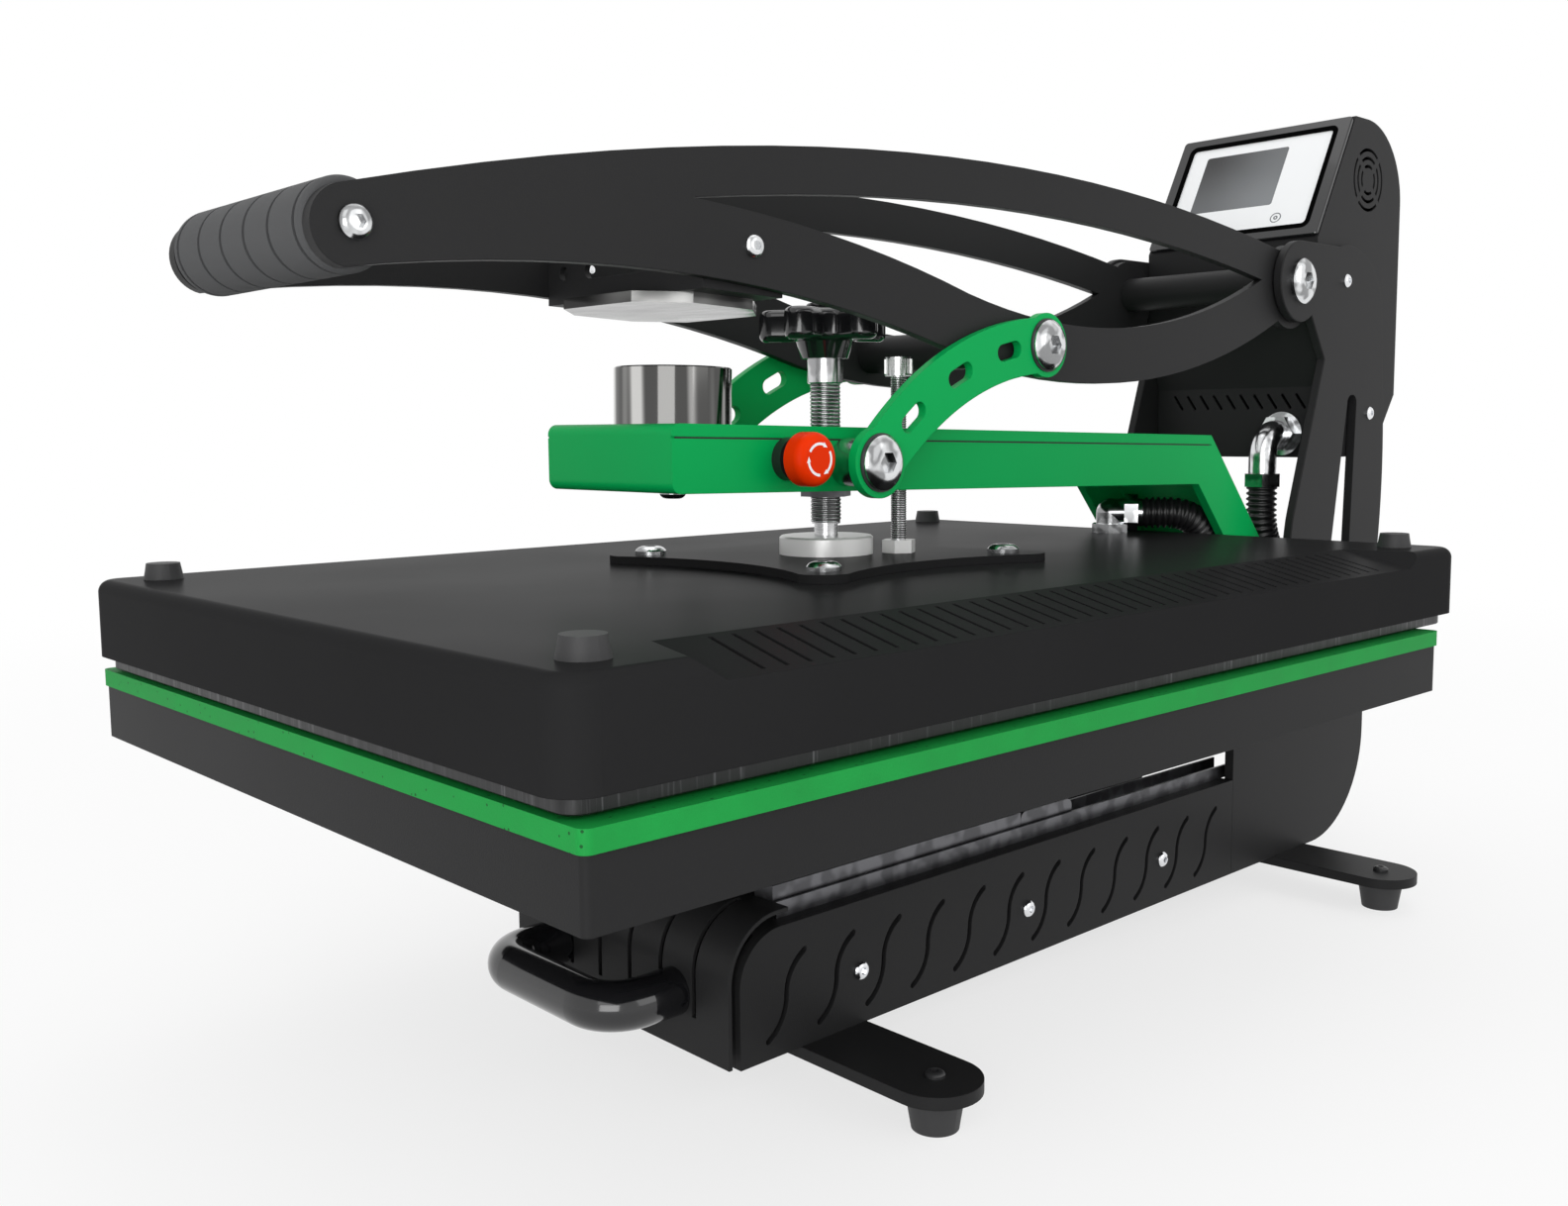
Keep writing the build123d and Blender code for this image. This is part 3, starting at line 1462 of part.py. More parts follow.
with BuildPart() as middle_slides:
    with BuildSketch(slide_section(press_y + slide_front_reach)):
        with Locations(*[(sign * slide_middle_x, middle_bottom + middle_thickness / 2) for sign in (-1, 1)]):
            Rectangle(2 * inner_slide_half_width, middle_thickness)
    extrude(amount=-(middle_rear_reach - slide_front_reach))
    for sign in (-1, 1):
        with BuildSketch(side(sign * slide_middle_x - inner_slide_half_width)):
            with BuildLine():
                Polyline(
                    at(inner_slide_rear_reach + gap, middle_top),
                    at(inner_slide_rear_reach + gap, inner_top),
                    at(middle_rear_reach, inner_top),
                    at(middle_rear_reach, middle_top),
                    close=True,
                )
            head = make_face()
            fillet(head.vertices().sort_by(Axis.Y)[-2:], middle_head_round)
        extrude(amount=2 * inner_slide_half_width)
middle_slides.part.label = "middle_slides"
export_step(middle_slides.part, "parts/middle_slides.step")

with BuildPart() as inner_slides:
    with BuildSketch(slide_section(press_y + slide_front_reach)):
        with Locations(*[(sign * slide_middle_x, (inner_bottom + inner_top) / 2) for sign in (-1, 1)]):
            Rectangle(2 * inner_slide_half_width, inner_slide_height)
    extrude(amount=-(inner_slide_rear_reach - slide_front_reach))
inner_slides.part.label = "inner_slides"
export_step(inner_slides.part, "parts/inner_slides.step")

# Control box: a slanted front for the screen, side grilles and a recessed lower front
box_profile = [
    at(box_sill_reach, box_sill_z),
    at(box_crest_reach, box_crest_z),
    at(box_rear_reach, box_crest_z),
    at(box_rear_reach, box_heel_z),
    at(box_heel_reach, box_heel_top_z),
    at(box_heel_reach, box_bottom),
    at(box_recess_reach, box_bottom),
    at(box_recess_reach, box_shelf_z),
    at(box_sill_reach, box_chin_z),
]
screen_tilt = atan2(box_crest_reach - box_sill_reach, box_crest_z - box_sill_z)
with BuildPart() as control_box:
    with BuildSketch(side(-box_half)):
        with BuildLine():
            Polyline(*box_profile, close=True)
        outer = make_face()
        fillet(outer.vertices().sort_by_distance((*at(box_rear_reach, box_crest_z), 0))[0], box_crown_radius)
    extrude(amount=2 * box_half)
    with BuildSketch(side(-box_half + box_sheet)):
        with BuildLine():
            Polyline(*box_profile, close=True)
        inner = make_face()
        fillet(inner.vertices().sort_by_distance((*at(box_rear_reach, box_crest_z), 0))[0], box_crown_radius)
        offset(amount=-box_sheet, mode=Mode.REPLACE)
    extrude(amount=2 * (box_half - box_sheet), mode=Mode.SUBTRACT)
    with BuildSketch(side(-box_half)):
        with Locations(at(grille_reach, grille_z)):
            for radius in grille_radii:
                Circle(radius + grille_slot / 2)
                Circle(radius - grille_slot / 2, mode=Mode.SUBTRACT)
            for turn in (45, 135):
                Rectangle(3 * grille_radii[0], grille_bar, rotation=turn, mode=Mode.SUBTRACT)
    extrude(amount=2 * box_half, mode=Mode.SUBTRACT)
    with BuildSketch(Plane.XZ.offset(-(press_y + box_recess_reach))):
        for n in range(louvre_count):
            x = (n - (louvre_count - 1) / 2) * louvre_pitch
            with Locations(Location((x, louvre_z, 0), (0, 0, louvre_angle))):
                SlotOverall(louvre_length, louvre_width)
    extrude(amount=-box_sheet, mode=Mode.SUBTRACT)
    with BuildSketch(Plane.XZ.offset(-(press_y + box_rear_reach))):
        with Locations((inlet_x, inlet_z)):
            Rectangle(inlet_width, inlet_height)
        with Locations((switch_x, inlet_z)):
            Rectangle(switch_width + 2 * gap, switch_height + 2 * gap)
    extrude(amount=box_sheet, mode=Mode.SUBTRACT)
control_box.part.label = "control_box"
export_step(control_box.part, "parts/control_box.step")

# Screen on the slanted front: a bezel frame, the panel in it and the display in that
screen_plane = Plane(
    origin=(
        0,
        press_y + (box_sill_reach + box_crest_reach) / 2,
        (box_sill_z + box_crest_z) / 2,
    ),
    x_dir=(1, 0, 0),
    z_dir=(0, -cos(screen_tilt), sin(screen_tilt)),
)
with BuildPart() as screen_bezel:
    with BuildSketch(screen_plane):
        RectangleRounded(bezel_width, bezel_height, bezel_corner)
        RectangleRounded(screen_width, screen_height, screen_corner, mode=Mode.SUBTRACT)
    extrude(amount=bezel_thickness)
    bezel_face = screen_bezel.faces().sort_by(Axis(screen_plane.origin, screen_plane.z_dir))[-1]
    chamfer(bezel_face.outer_wire().edges(), edge_break)
screen_bezel.part.label = "screen_bezel"
export_step(screen_bezel.part, "parts/screen_bezel.step")

with BuildPart() as screen_panel:
    with BuildSketch(screen_plane):
        RectangleRounded(screen_width - slip, screen_height - slip, screen_corner)
    extrude(amount=screen_thickness)
    with BuildSketch(screen_plane.offset(screen_thickness - display_depth)):
        with Locations((display_x, display_rise)):
            RectangleRounded(display_width, display_height, display_corner)
    extrude(amount=display_depth, mode=Mode.SUBTRACT)
screen_panel.part.label = "screen_panel"
export_step(screen_panel.part, "parts/screen_panel.step")

with BuildPart() as display_window:
    with BuildSketch(screen_plane.offset(screen_thickness - display_depth)):
        with Locations((display_x, display_rise)):
            RectangleRounded(display_width - slip, display_height - slip, display_corner)
    extrude(amount=display_depth)
display_window.part.label = "display_window"
export_step(display_window.part, "parts/display_window.step")

# Power inlet and rocker switch in the rear wall
rear_y = press_y + box_rear_reach
with BuildPart() as power_inlet:
    with BuildSketch(slide_section(rear_y)):
        with Locations((inlet_x, inlet_z)):
            RectangleRounded(inlet_flange_width, inlet_flange_height, inlet_corner)
    extrude(amount=-inlet_flange)
    with BuildSketch(slide_section(rear_y)):
        with Locations((inlet_x, inlet_z)):
            Rectangle(inlet_width - slip, inlet_height - slip)
    extrude(amount=inlet_depth)
    with BuildSketch(slide_section(rear_y + inlet_flange)):
        with Locations((inlet_x, inlet_z)):
            Rectangle(inlet_mouth_width, inlet_mouth_height)
    extrude(amount=inlet_depth, mode=Mode.SUBTRACT)
    with BuildSketch(slide_section(rear_y + inlet_flange)):
        with Locations((inlet_x, inlet_z)):
            with Locations((-inlet_pin_pitch, 0), (0, inlet_pin_rise), (inlet_pin_pitch, 0)):
                Rectangle(inlet_pin_thickness, inlet_pin_width)
    extrude(amount=inlet_depth + inlet_flange)
power_inlet.part.label = "power_inlet"
export_step(power_inlet.part, "parts/power_inlet.step")

with BuildPart() as power_switch:
    with BuildSketch(side(switch_x - switch_width / 2)):
        with BuildLine():
            rim = ThreePointArc(
                (rear_y + box_sheet, inlet_z - switch_height / 2 + switch_lean),
                (rear_y - switch_depth, inlet_z),
                (rear_y + box_sheet, inlet_z + switch_height / 2 - switch_lean),
            )
            Polyline(
                rim @ 1,
                (rear_y + switch_proud_high, inlet_z + switch_height / 2 - switch_lean),
                (rear_y + switch_waist, inlet_z),
                (rear_y + switch_proud_low, inlet_z - switch_height / 2 + switch_lean),
                rim @ 0,
            )
        make_face()
    extrude(amount=switch_width)
power_switch.part.label = "power_switch"
export_step(power_switch.part, "parts/power_switch.step")

# Upper elbow: a flange and hex nut on the box, a bend, and a hex nut over the hose
upper_y = press_y + box_recess_reach
upper_axis_y = upper_y - elbow_flange_length - elbow_nut_length - upper_elbow_bend
with BuildPart() as upper_elbow:
    with BuildSketch(slide_section(upper_y)):
        with Locations((upper_elbow_x, upper_elbow_z)):
            Circle(elbow_flange_radius)
    extrude(amount=elbow_flange_length)
    with BuildSketch(slide_section(upper_y - elbow_flange_length)):
        with Locations((upper_elbow_x, upper_elbow_z)):
            RegularPolygon(elbow_nut_radius, 6)
    extrude(amount=elbow_nut_length)
    with BuildSketch(slide_section(upper_y - elbow_flange_length - elbow_nut_length)):
        with Locations((upper_elbow_x, upper_elbow_z)):
            Circle(elbow_radius)
    bend_centre = (upper_elbow_x, upper_axis_y + upper_elbow_bend, upper_elbow_z - upper_elbow_bend)
    revolve(axis=Axis(bend_centre, (-1, 0, 0)), revolution_arc=-90)
    with BuildSketch(Plane.XY.offset(upper_elbow_z - upper_elbow_bend)):
        with Locations((upper_elbow_x, upper_axis_y)):
            Circle(elbow_radius)
    extrude(amount=-(upper_elbow_z - upper_elbow_bend - upper_elbow_end))
    with BuildSketch(Plane.XY.offset(upper_elbow_end + elbow_nut_length)):
        with Locations((upper_elbow_x, upper_axis_y)):
            RegularPolygon(elbow_nut_radius, 6)
    extrude(amount=-elbow_nut_length)
upper_elbow.part.label = "upper_elbow"
export_step(upper_elbow.part, "parts/upper_elbow.step")

# Lower elbow on the cover: it turns from upright to the diagonal that the hose leaves on
lower_place = (lower_elbow_x, press_y + lower_elbow_reach)
outlet = Vector(sin(radians(lower_elbow_turn)), cos(radians(lower_elbow_turn)), 0)
outlet_start = Vector(*lower_place, lower_elbow_z) + outlet * lower_elbow_bend
outlet_end = outlet_start + outlet * lower_elbow_run
with BuildPart() as lower_elbow:
    with BuildSketch(Plane.XY.offset(cover_top)):
        with Locations(lower_place):
            RegularPolygon(elbow_nut_radius, 6)
    extrude(amount=lower_nut_length)
    with BuildSketch(Plane.XY.offset(cover_top)):
        with Locations(lower_place):
            Circle(elbow_radius)
    extrude(amount=lower_elbow_z - cover_top)
    with Locations((*lower_place, lower_elbow_z)):
        Sphere(elbow_radius)
    with BuildSketch(Plane((*lower_place, lower_elbow_z), x_dir=(0, 0, 1), z_dir=outlet)):
        Circle(elbow_radius)
    extrude(amount=lower_elbow_bend + lower_elbow_run)
    with BuildSketch(Plane(outlet_start, x_dir=(0, 0, 1), z_dir=outlet)):
        RegularPolygon(lower_nut_radius, 6)
    extrude(amount=elbow_nut_length)
lower_elbow.part.label = "lower_elbow"
export_step(lower_elbow.part, "parts/lower_elbow.step")

# Ribbed conduit: down behind the beam's leg, under its pivot, up inside it to the platen
hose_start = Vector(upper_elbow_x, upper_axis_y, upper_elbow_end)
hose_points = [
    hose_start,
    hose_start + Vector(0, 0, -hose_lead),
    Vector(upper_elbow_x, *at(hose_drop_reach, hose_drop_top_z)),
    Vector(upper_elbow_x, *at(hose_drop_reach, hose_drop_foot_z)),
    Vector(hose_sag_x, *at(hose_sag_rear_reach, hose_sag_rear_z)),
    Vector(hose_sag_x, *at(hose_sag_front_reach, hose_sag_front_z)),
    Vector(hose_leg_x, *at(hose_leg_foot_reach, hose_leg_foot_z)),
    Vector(hose_leg_x, *at(hose_leg_middle_reach, hose_leg_middle_z)),
    Vector(hose_leg_x, *at(hose_leg_top_reach, hose_leg_top_z)),
    outlet_end + outlet * hose_lead,
    outlet_end,
]
hose_radii = []
for before, corner, after in zip(hose_points, hose_points[1:], hose_points[2:]):
    run_in = corner - before
    run_out = after - corner
    turn = radians(run_in.get_angle(run_out))
    hose_radii.append(hose_bend_share * min(run_in.length, run_out.length) / tan(turn / 2))
print("hose bend radii:", [round(radius, 1) for radius in hose_radii])
hose_path = FilletPolyline(*hose_points, radius=hose_radii).wire()
print("hose length:", round(hose_path.length, 1))


def hose_ring(share, radius):
    # A circle square to the hose at a share of its length, with its seam kept towards X.
    heading = hose_path % share
    across = (Vector(1, 0, 0) - heading * heading.X).normalized()
    return Edge.make_circle(radius, Plane(hose_path @ share, x_dir=across, z_dir=heading))


rib_shape = ((0.0, hose_root), (0.2, hose_radius), (0.6, hose_radius), (0.8, hose_root))
with BuildPart() as conduit_hose:
    outer_rings = []
    bore_rings = []
    for n in range(hose_ribs):
        for offset_share, radius in rib_shape:
            outer_rings.append(Wire([hose_ring((n + offset_share) / hose_ribs, radius)]))
        bore_rings.append(Wire([hose_ring(n / hose_ribs, hose_bore)]))
    outer_rings.append(Wire([hose_ring(1, hose_root)]))
    bore_rings.append(Wire([hose_ring(1, hose_bore)]))
    add(Solid.make_loft(outer_rings, ruled=True))
    add(Solid.make_loft(bore_rings, ruled=True), mode=Mode.SUBTRACT)
conduit_hose.part.label = "conduit_hose"
export_step(conduit_hose.part, "parts/conduit_hose.step")
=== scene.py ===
from math import atan2, cos, pi, radians, sin, tan

import bmesh
import bpy
from mathutils import Matrix, Quaternion, Vector


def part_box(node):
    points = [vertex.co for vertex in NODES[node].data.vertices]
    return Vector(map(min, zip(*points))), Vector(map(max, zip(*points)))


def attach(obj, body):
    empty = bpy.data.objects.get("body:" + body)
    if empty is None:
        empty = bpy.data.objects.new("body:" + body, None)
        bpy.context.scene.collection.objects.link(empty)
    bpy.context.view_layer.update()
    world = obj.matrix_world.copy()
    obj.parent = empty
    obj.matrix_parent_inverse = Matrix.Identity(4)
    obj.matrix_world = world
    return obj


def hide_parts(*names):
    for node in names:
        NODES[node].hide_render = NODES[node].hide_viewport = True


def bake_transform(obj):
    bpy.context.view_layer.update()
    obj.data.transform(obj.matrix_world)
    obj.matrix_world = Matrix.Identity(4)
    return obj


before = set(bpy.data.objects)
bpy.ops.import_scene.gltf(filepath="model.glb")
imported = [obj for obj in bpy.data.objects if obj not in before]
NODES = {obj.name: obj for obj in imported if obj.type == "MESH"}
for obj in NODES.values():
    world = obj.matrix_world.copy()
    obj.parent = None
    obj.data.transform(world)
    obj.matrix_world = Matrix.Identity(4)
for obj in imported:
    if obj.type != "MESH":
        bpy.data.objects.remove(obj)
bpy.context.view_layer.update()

bl_info = {
    "name": "Auto-open heat press",
    "version": (1, 0, 0),
    "blender": (4, 5, 0),
    "location": "View3D > Sidebar > Heat press",
    "description": "Dresses the packed frame of a lever heat press with finishes and fine pieces",
    "category": "Object",
}

# Places that the dressing takes from the frame
SPINDLE_LOW, SPINDLE_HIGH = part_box("spindle")
GUIDE_LOW, GUIDE_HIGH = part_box("guide_bolt")
PANEL_LOW, PANEL_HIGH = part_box("screen_panel")
STOP_LOW, STOP_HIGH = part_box("stop_head")
DISPLAY_LOW, DISPLAY_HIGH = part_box("display_window")
BEAM_LOW, BEAM_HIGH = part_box("lift_beam")
BOLTS_LOW, BOLTS_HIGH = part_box("link_bolts")
ELBOW_LOW, ELBOW_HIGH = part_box("upper_elbow")
DISC_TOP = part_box("spindle_disc")[1][2]
NUT_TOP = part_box("guide_nut")[1][2]
COLLAR_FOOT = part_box("spindle_collar")[0][2]
LINK_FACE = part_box("link_right")[1][0]
FOOT_BAR_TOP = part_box("foot_bars")[1][2]

# Sizes of the solids that their boxes don't tell, in metres
SPINDLE_NECK = 0.0075
GUIDE_NECK = 0.0006
GUIDE_HEAD = 0.0108
KNURL_LENGTH = 0.0078
KNURL_DROP = 0.0089
BOLT_RADIUS = 0.0135
FOOT_SCREW_RISE = 0.006
PANEL_THICKNESS = 0.002
PANEL_RISE = 0.080
PANEL_CORNER = 0.003
SEAM_DROP = 0.0063
SEAM_START = 0.002
BEAM_FALL = radians(1.27)

# The conduit's way: its lead off each elbow, its hidden corners, and its outlet at the platen
CONDUIT_Y = 0.2872
CONDUIT_LEAD = 0.032
CONDUIT_CORNERS = (
    (0.038, 0.3172, 0.2016),
    (0.038, 0.3172, 0.1636),
    (0.036, 0.2912, 0.1356),
    (0.036, 0.2552, 0.1376),
    (0.031, 0.2372, 0.1656),
    (0.031, 0.2362, 0.1976),
    (0.031, 0.2312, 0.2316),
)
OUTLET_BEND = (-0.012, 0.1762, 0.2546)
OUTLET_REACH = 0.021
OUTLET_TURN = radians(55)

SPINDLE_X = (SPINDLE_LOW[0] + SPINDLE_HIGH[0]) / 2
SPINDLE_Y = (SPINDLE_LOW[1] + SPINDLE_HIGH[1]) / 2
SPINDLE_FOOT = DISC_TOP + SPINDLE_NECK
GUIDE_X = (GUIDE_LOW[0] + GUIDE_HIGH[0]) / 2
GUIDE_Y = (GUIDE_LOW[1] + GUIDE_HIGH[1]) / 2
GUIDE_FOOT = NUT_TOP + GUIDE_NECK
GUIDE_TOP = GUIDE_HIGH[2] - GUIDE_HEAD
STOP_Y = (STOP_LOW[1] + STOP_HIGH[1]) / 2
STOP_Z = (STOP_LOW[2] + STOP_HIGH[2]) / 2


class FinishSettings(bpy.types.PropertyGroup):
    """Colours of the press."""

    frame_paint: bpy.props.FloatVectorProperty(
        name="Frame paint",
        description="Powder coat of the frame, the arms and the platen cover",
        subtype="COLOR",
        default=(0.0165, 0.0165, 0.0170),
        min=0.0,
        max=1.0,
    )
    lift_paint: bpy.props.FloatVectorProperty(
        name="Lift paint",
        description="Powder coat of the lifting beam and the links",
        subtype="COLOR",
        default=(0.001, 0.335, 0.077),
        min=0.0,
        max=1.0,
    )
    pad_colour: bpy.props.FloatVectorProperty(
        name="Pad colour",
        description="Silicone pad of the lower plate",
        subtype="COLOR",
        default=(0.004, 0.235, 0.038),
        min=0.0,
        max=1.0,
    )
    stop_colour: bpy.props.FloatVectorProperty(
        name="Stop colour",
        description="Emergency stop button",
        subtype="COLOR",
        default=(0.700, 0.030, 0.001),
        min=0.0,
        max=1.0,
    )


class ThreadSettings(bpy.types.PropertyGroup):
    """Sizes of the threads and of the knurled head."""

    fullness: bpy.props.FloatProperty(
        name="Fullness", description="A ridge's own radius as a share of its pitch", default=0.4, min=0.1, max=0.5
    )
    spindle_pitch: bpy.props.FloatProperty(
        name="Spindle pitch", description="Rise of the spindle's thread in one turn", unit="LENGTH", default=0.0020
    )
    spindle_crest: bpy.props.FloatProperty(
        name="Spindle crest", description="Radius over the spindle's thread", unit="LENGTH", default=0.0083
    )
    guide_pitch: bpy.props.FloatProperty(
        name="Guide pitch", description="Rise of the guide bolt's thread in one turn", unit="LENGTH", default=0.00125
    )
    guide_crest: bpy.props.FloatProperty(
        name="Guide crest", description="Radius over the guide bolt's thread", unit="LENGTH", default=0.0043
    )
    knurl_count: bpy.props.IntProperty(
        name="Knurls", description="Ridges round the guide bolt's head", default=44, min=3
    )


class ConduitSettings(bpy.types.PropertyGroup):
    """Sizes of the ribbed conduit."""

    outer_radius: bpy.props.FloatProperty(
        name="Outer radius", description="Radius over the ribs", unit="LENGTH", default=0.0105
    )
    root_radius: bpy.props.FloatProperty(
        name="Root radius", description="Radius between the ribs", unit="LENGTH", default=0.0089
    )
    rib_pitch: bpy.props.FloatProperty(
        name="Rib pitch", description="Distance from one rib to the next", unit="LENGTH", default=0.0039
    )
    end_length: bpy.props.FloatProperty(
        name="End length", description="Stretch that gives way to the platen's stroke", unit="LENGTH", default=0.070
    )


class MarkSettings(bpy.types.PropertyGroup):
    """Sizes of the arrows, the washers, the black rim of painted shade round the front panel and the dark strips of
    painted shade in the beam's seams.
    """

    arrow_radius: bpy.props.FloatProperty(
        name="Arrow radius", description="Radius of the arrows on the stop button", unit="LENGTH", default=0.0074
    )
    arrow_width: bpy.props.FloatProperty(
        name="Arrow width", description="Width of an arrow's stroke", unit="LENGTH", default=0.0013
    )
    washer_radius: bpy.props.FloatProperty(
        name="Washer radius", description="Radius of the washers behind the link bolts", unit="LENGTH", default=0.0145
    )
    # The rim sizes belong to the black ring of painted shade round the front panel.
    shade_rim_width: bpy.props.FloatProperty(
        name="Gasket width", description="Width of the gasket round the front panel", unit="LENGTH", default=0.0034
    )
    shade_rim_lap: bpy.props.FloatProperty(
        name="Gasket lap", description="Part of that width that lies on the panel", unit="LENGTH", default=0.0008
    )
    # The seam sizes belong to the dark strips of painted shade in the beam's seams.
    seam_length: bpy.props.FloatProperty(
        name="Seam length", description="Reach of the seam along the beam's side", unit="LENGTH", default=0.450
    )
    seam_width: bpy.props.FloatProperty(
        name="Seam width", description="Height of the seam on the beam's side", unit="LENGTH", default=0.0009
    )


class StageSettings(bpy.types.PropertyGroup):
    """Camera, floor and lamps."""

    lens: bpy.props.FloatProperty(
        name="Lens", description="Focal length on a 36 mm wide sensor", unit="CAMERA", default=33.548, min=1.0
    )
    lamp_level: bpy.props.FloatProperty(
        name="Lamp level", description="Share of the lamps' power", default=1.0, min=0.0
    )


def wire(tree, target, value):
    # A socket set to a value, or joined to another node's output.
    if isinstance(value, bpy.types.NodeSocket):
        tree.links.new(value, target)
    else:
        target.default_value = value


def calc(tree, operation, *terms, clamp=False):
    # One step of arithmetic on values or outputs.
    node = tree.nodes.new("ShaderNodeMath")
    node.operation = operation
    node.use_clamp = clamp
    for socket, term in zip(node.inputs, terms):
        wire(tree, socket, term)
    return node.outputs[0]


def ranged(tree, value, low, high, out_low=0.0, out_high=1.0):
    # A value eased from one range to another and held at its ends.
    node = tree.nodes.new("ShaderNodeMapRange")
    node.interpolation_type = "SMOOTHSTEP"
    for name, term in (("Value", value), ("From Min", low), ("From Max", high)):
        wire(tree, node.inputs[name], term)
    node.inputs["To Min"].default_value = out_low
    node.inputs["To Max"].default_value = out_high
    return node.outputs["Result"]


def tinted(tree, share, low, high):
    # A colour between two others.
    node = tree.nodes.new("ShaderNodeMix")
    node.data_type = "RGBA"
    wire(tree, node.inputs[0], share)
    for socket, colour in ((node.inputs[6], low), (node.inputs[7], high)):
        wire(tree, socket, colour if isinstance(colour, bpy.types.NodeSocket) else (*colour, 1.0))
    return node.outputs[2]


def object_place(tree, stretch=(1.0, 1.0, 1.0)):
    # The surface's own coordinates, stretched along each axis.
    place = tree.nodes.new("ShaderNodeTexCoord")
    scaled = tree.nodes.new("ShaderNodeVectorMath")
    scaled.operation = "MULTIPLY"
    tree.links.new(place.outputs["Object"], scaled.inputs[0])
    wire(tree, scaled.inputs[1], stretch)
    return scaled.outputs[0]


def noise(tree, place, scale, detail):
    # Even noise from 0 to 1.
    node = tree.nodes.new("ShaderNodeTexNoise")
    node.inputs["Detail"].default_value = detail
    tree.links.new(place, node.inputs["Vector"])
    wire(tree, node.inputs["Scale"], scale)
    return node.outputs["Fac"]


def effect_tree(name, inputs, outputs):
    # An empty shader group with its sockets, the node that reads them and the node that puts them out.
    group = bpy.data.node_groups.new(name, "ShaderNodeTree")
    for socket, kind, value in inputs:
        made = group.interface.new_socket(name=socket, in_out="INPUT", socket_type=kind)
        made.default_value = value
    for socket in outputs:
        group.interface.new_socket(name=socket, in_out="OUTPUT", socket_type="NodeSocketFloat")
    return group, group.nodes.new("NodeGroupInput").outputs, group.nodes.new("NodeGroupOutput").inputs


def uneven_group():
    # Slow and fine noise that makes a painted or moulded surface a little uneven.
    numbers = (("Fine Scale", 900.0), ("Broad Scale", 9.0), ("Roughness", 0.4), ("Spread", 0.08))
    group, given, put = effect_tree(
        "Uneven surface",
        [(name, "NodeSocketFloat", value) for name, value in numbers],
        ("Height", "Roughness", "Tone"),
    )
    place = object_place(group)
    broad = noise(group, place, given["Broad Scale"], 4.0)
    swing = calc(group, "SUBTRACT", broad, 0.5)
    wire(group, put["Height"], noise(group, place, given["Fine Scale"], 3.0))
    wire(group, put["Roughness"], calc(group, "MULTIPLY_ADD", swing, given["Spread"], given["Roughness"]))
    wire(group, put["Tone"], broad)
    return group


def brushing_group():
    # Fine scratches along one direction, for turned and rolled metal.
    group, given, put = effect_tree(
        "Brushed lines",
        [
            ("Stretch", "NodeSocketVector", (400.0, 400.0, 20.0)),
            ("Roughness", "NodeSocketFloat", 0.3),
            ("Spread", "NodeSocketFloat", 0.12),
        ],
        ("Height", "Roughness"),
    )
    lines = noise(group, object_place(group, given["Stretch"]), 4.0, 5.0)
    swing = calc(group, "SUBTRACT", lines, 0.5)
    wire(group, put["Height"], lines)
    wire(group, put["Roughness"], calc(group, "MULTIPLY_ADD", swing, given["Spread"], given["Roughness"]))
    return group


def pore_group():
    # Small round holes scattered over a foam, with most cells left whole.
    group, given, put = effect_tree(
        "Open pores",
        [("Scale", "NodeSocketFloat", 420.0), ("Share", "NodeSocketFloat", 0.3), ("Size", "NodeSocketFloat", 0.3)],
        ("Pores",),
    )
    cells = group.nodes.new("ShaderNodeTexVoronoi")
    wire(group, cells.inputs["Vector"], object_place(group))
    wire(group, cells.inputs["Scale"], given["Scale"])
    split = group.nodes.new("ShaderNodeSeparateColor")
    wire(group, split.inputs[0], cells.outputs["Color"])
    chosen = calc(group, "LESS_THAN", split.outputs[0], given["Share"])
    near = calc(group, "LESS_THAN", cells.outputs["Distance"], given["Size"])
    wire(group, put["Pores"], calc(group, "MULTIPLY", chosen, near))
    return group


def placed_group(tree, name, maker, **values):
    # A shared effect, built once, placed in a material with its own values.
    node = tree.nodes.new("ShaderNodeGroup")
    node.node_tree = bpy.data.node_groups.get(name) or maker()
    for socket, value in values.items():
        node.inputs[socket.replace("_", " ").title()].default_value = value
    return node.outputs


def new_material(name):
    # A material with one Principled shader, ready to be set.
    material = bpy.data.materials.new(name)
    material.use_nodes = True
    tree = material.node_tree
    tree.nodes.clear()
    shader = tree.nodes.new("ShaderNodeBsdfPrincipled")
    end = tree.nodes.new("ShaderNodeOutputMaterial")
    tree.links.new(shader.outputs["BSDF"], end.inputs["Surface"])
    return material, tree, shader.inputs


def relief(tree, height, strength, distance, edge=0.0):
    # A fine relief, on edges that are softened by a given radius.
    bump = tree.nodes.new("ShaderNodeBump")
    bump.inputs["Strength"].default_value = strength
    bump.inputs["Distance"].default_value = distance
    wire(tree, bump.inputs["Height"], height)
    if edge:
        soft = tree.nodes.new("ShaderNodeBevel")
        soft.samples = 4
        soft.inputs["Radius"].default_value = edge
        tree.links.new(soft.outputs[0], bump.inputs["Normal"])
    return bump.outputs[0]


def coated(name, colour, roughness, fine, bump, tone=0.2, spread=0.08, edge=0.0, **sockets):
    # A paint, plastic or rubber: one colour that varies slowly, with a fine relief.
    material, tree, shader = new_material(name)
    for socket, value in sockets.items():
        shader[socket.replace("_", " ").title().replace("Ior", "IOR")].default_value = value
    uneven = placed_group(
        tree, "Uneven surface", uneven_group, fine_scale=fine, roughness=roughness, spread=spread
    )
    low = [c * (1 - tone / 2) for c in colour]
    high = [min(1.0, c * (1 + tone / 2)) for c in colour]
    wire(tree, shader["Base Color"], tinted(tree, uneven["Tone"], low, high))
    wire(tree, shader["Roughness"], uneven["Roughness"])
    wire(tree, shader["Normal"], relief(tree, uneven["Height"], bump, 0.0002, edge))
    return material


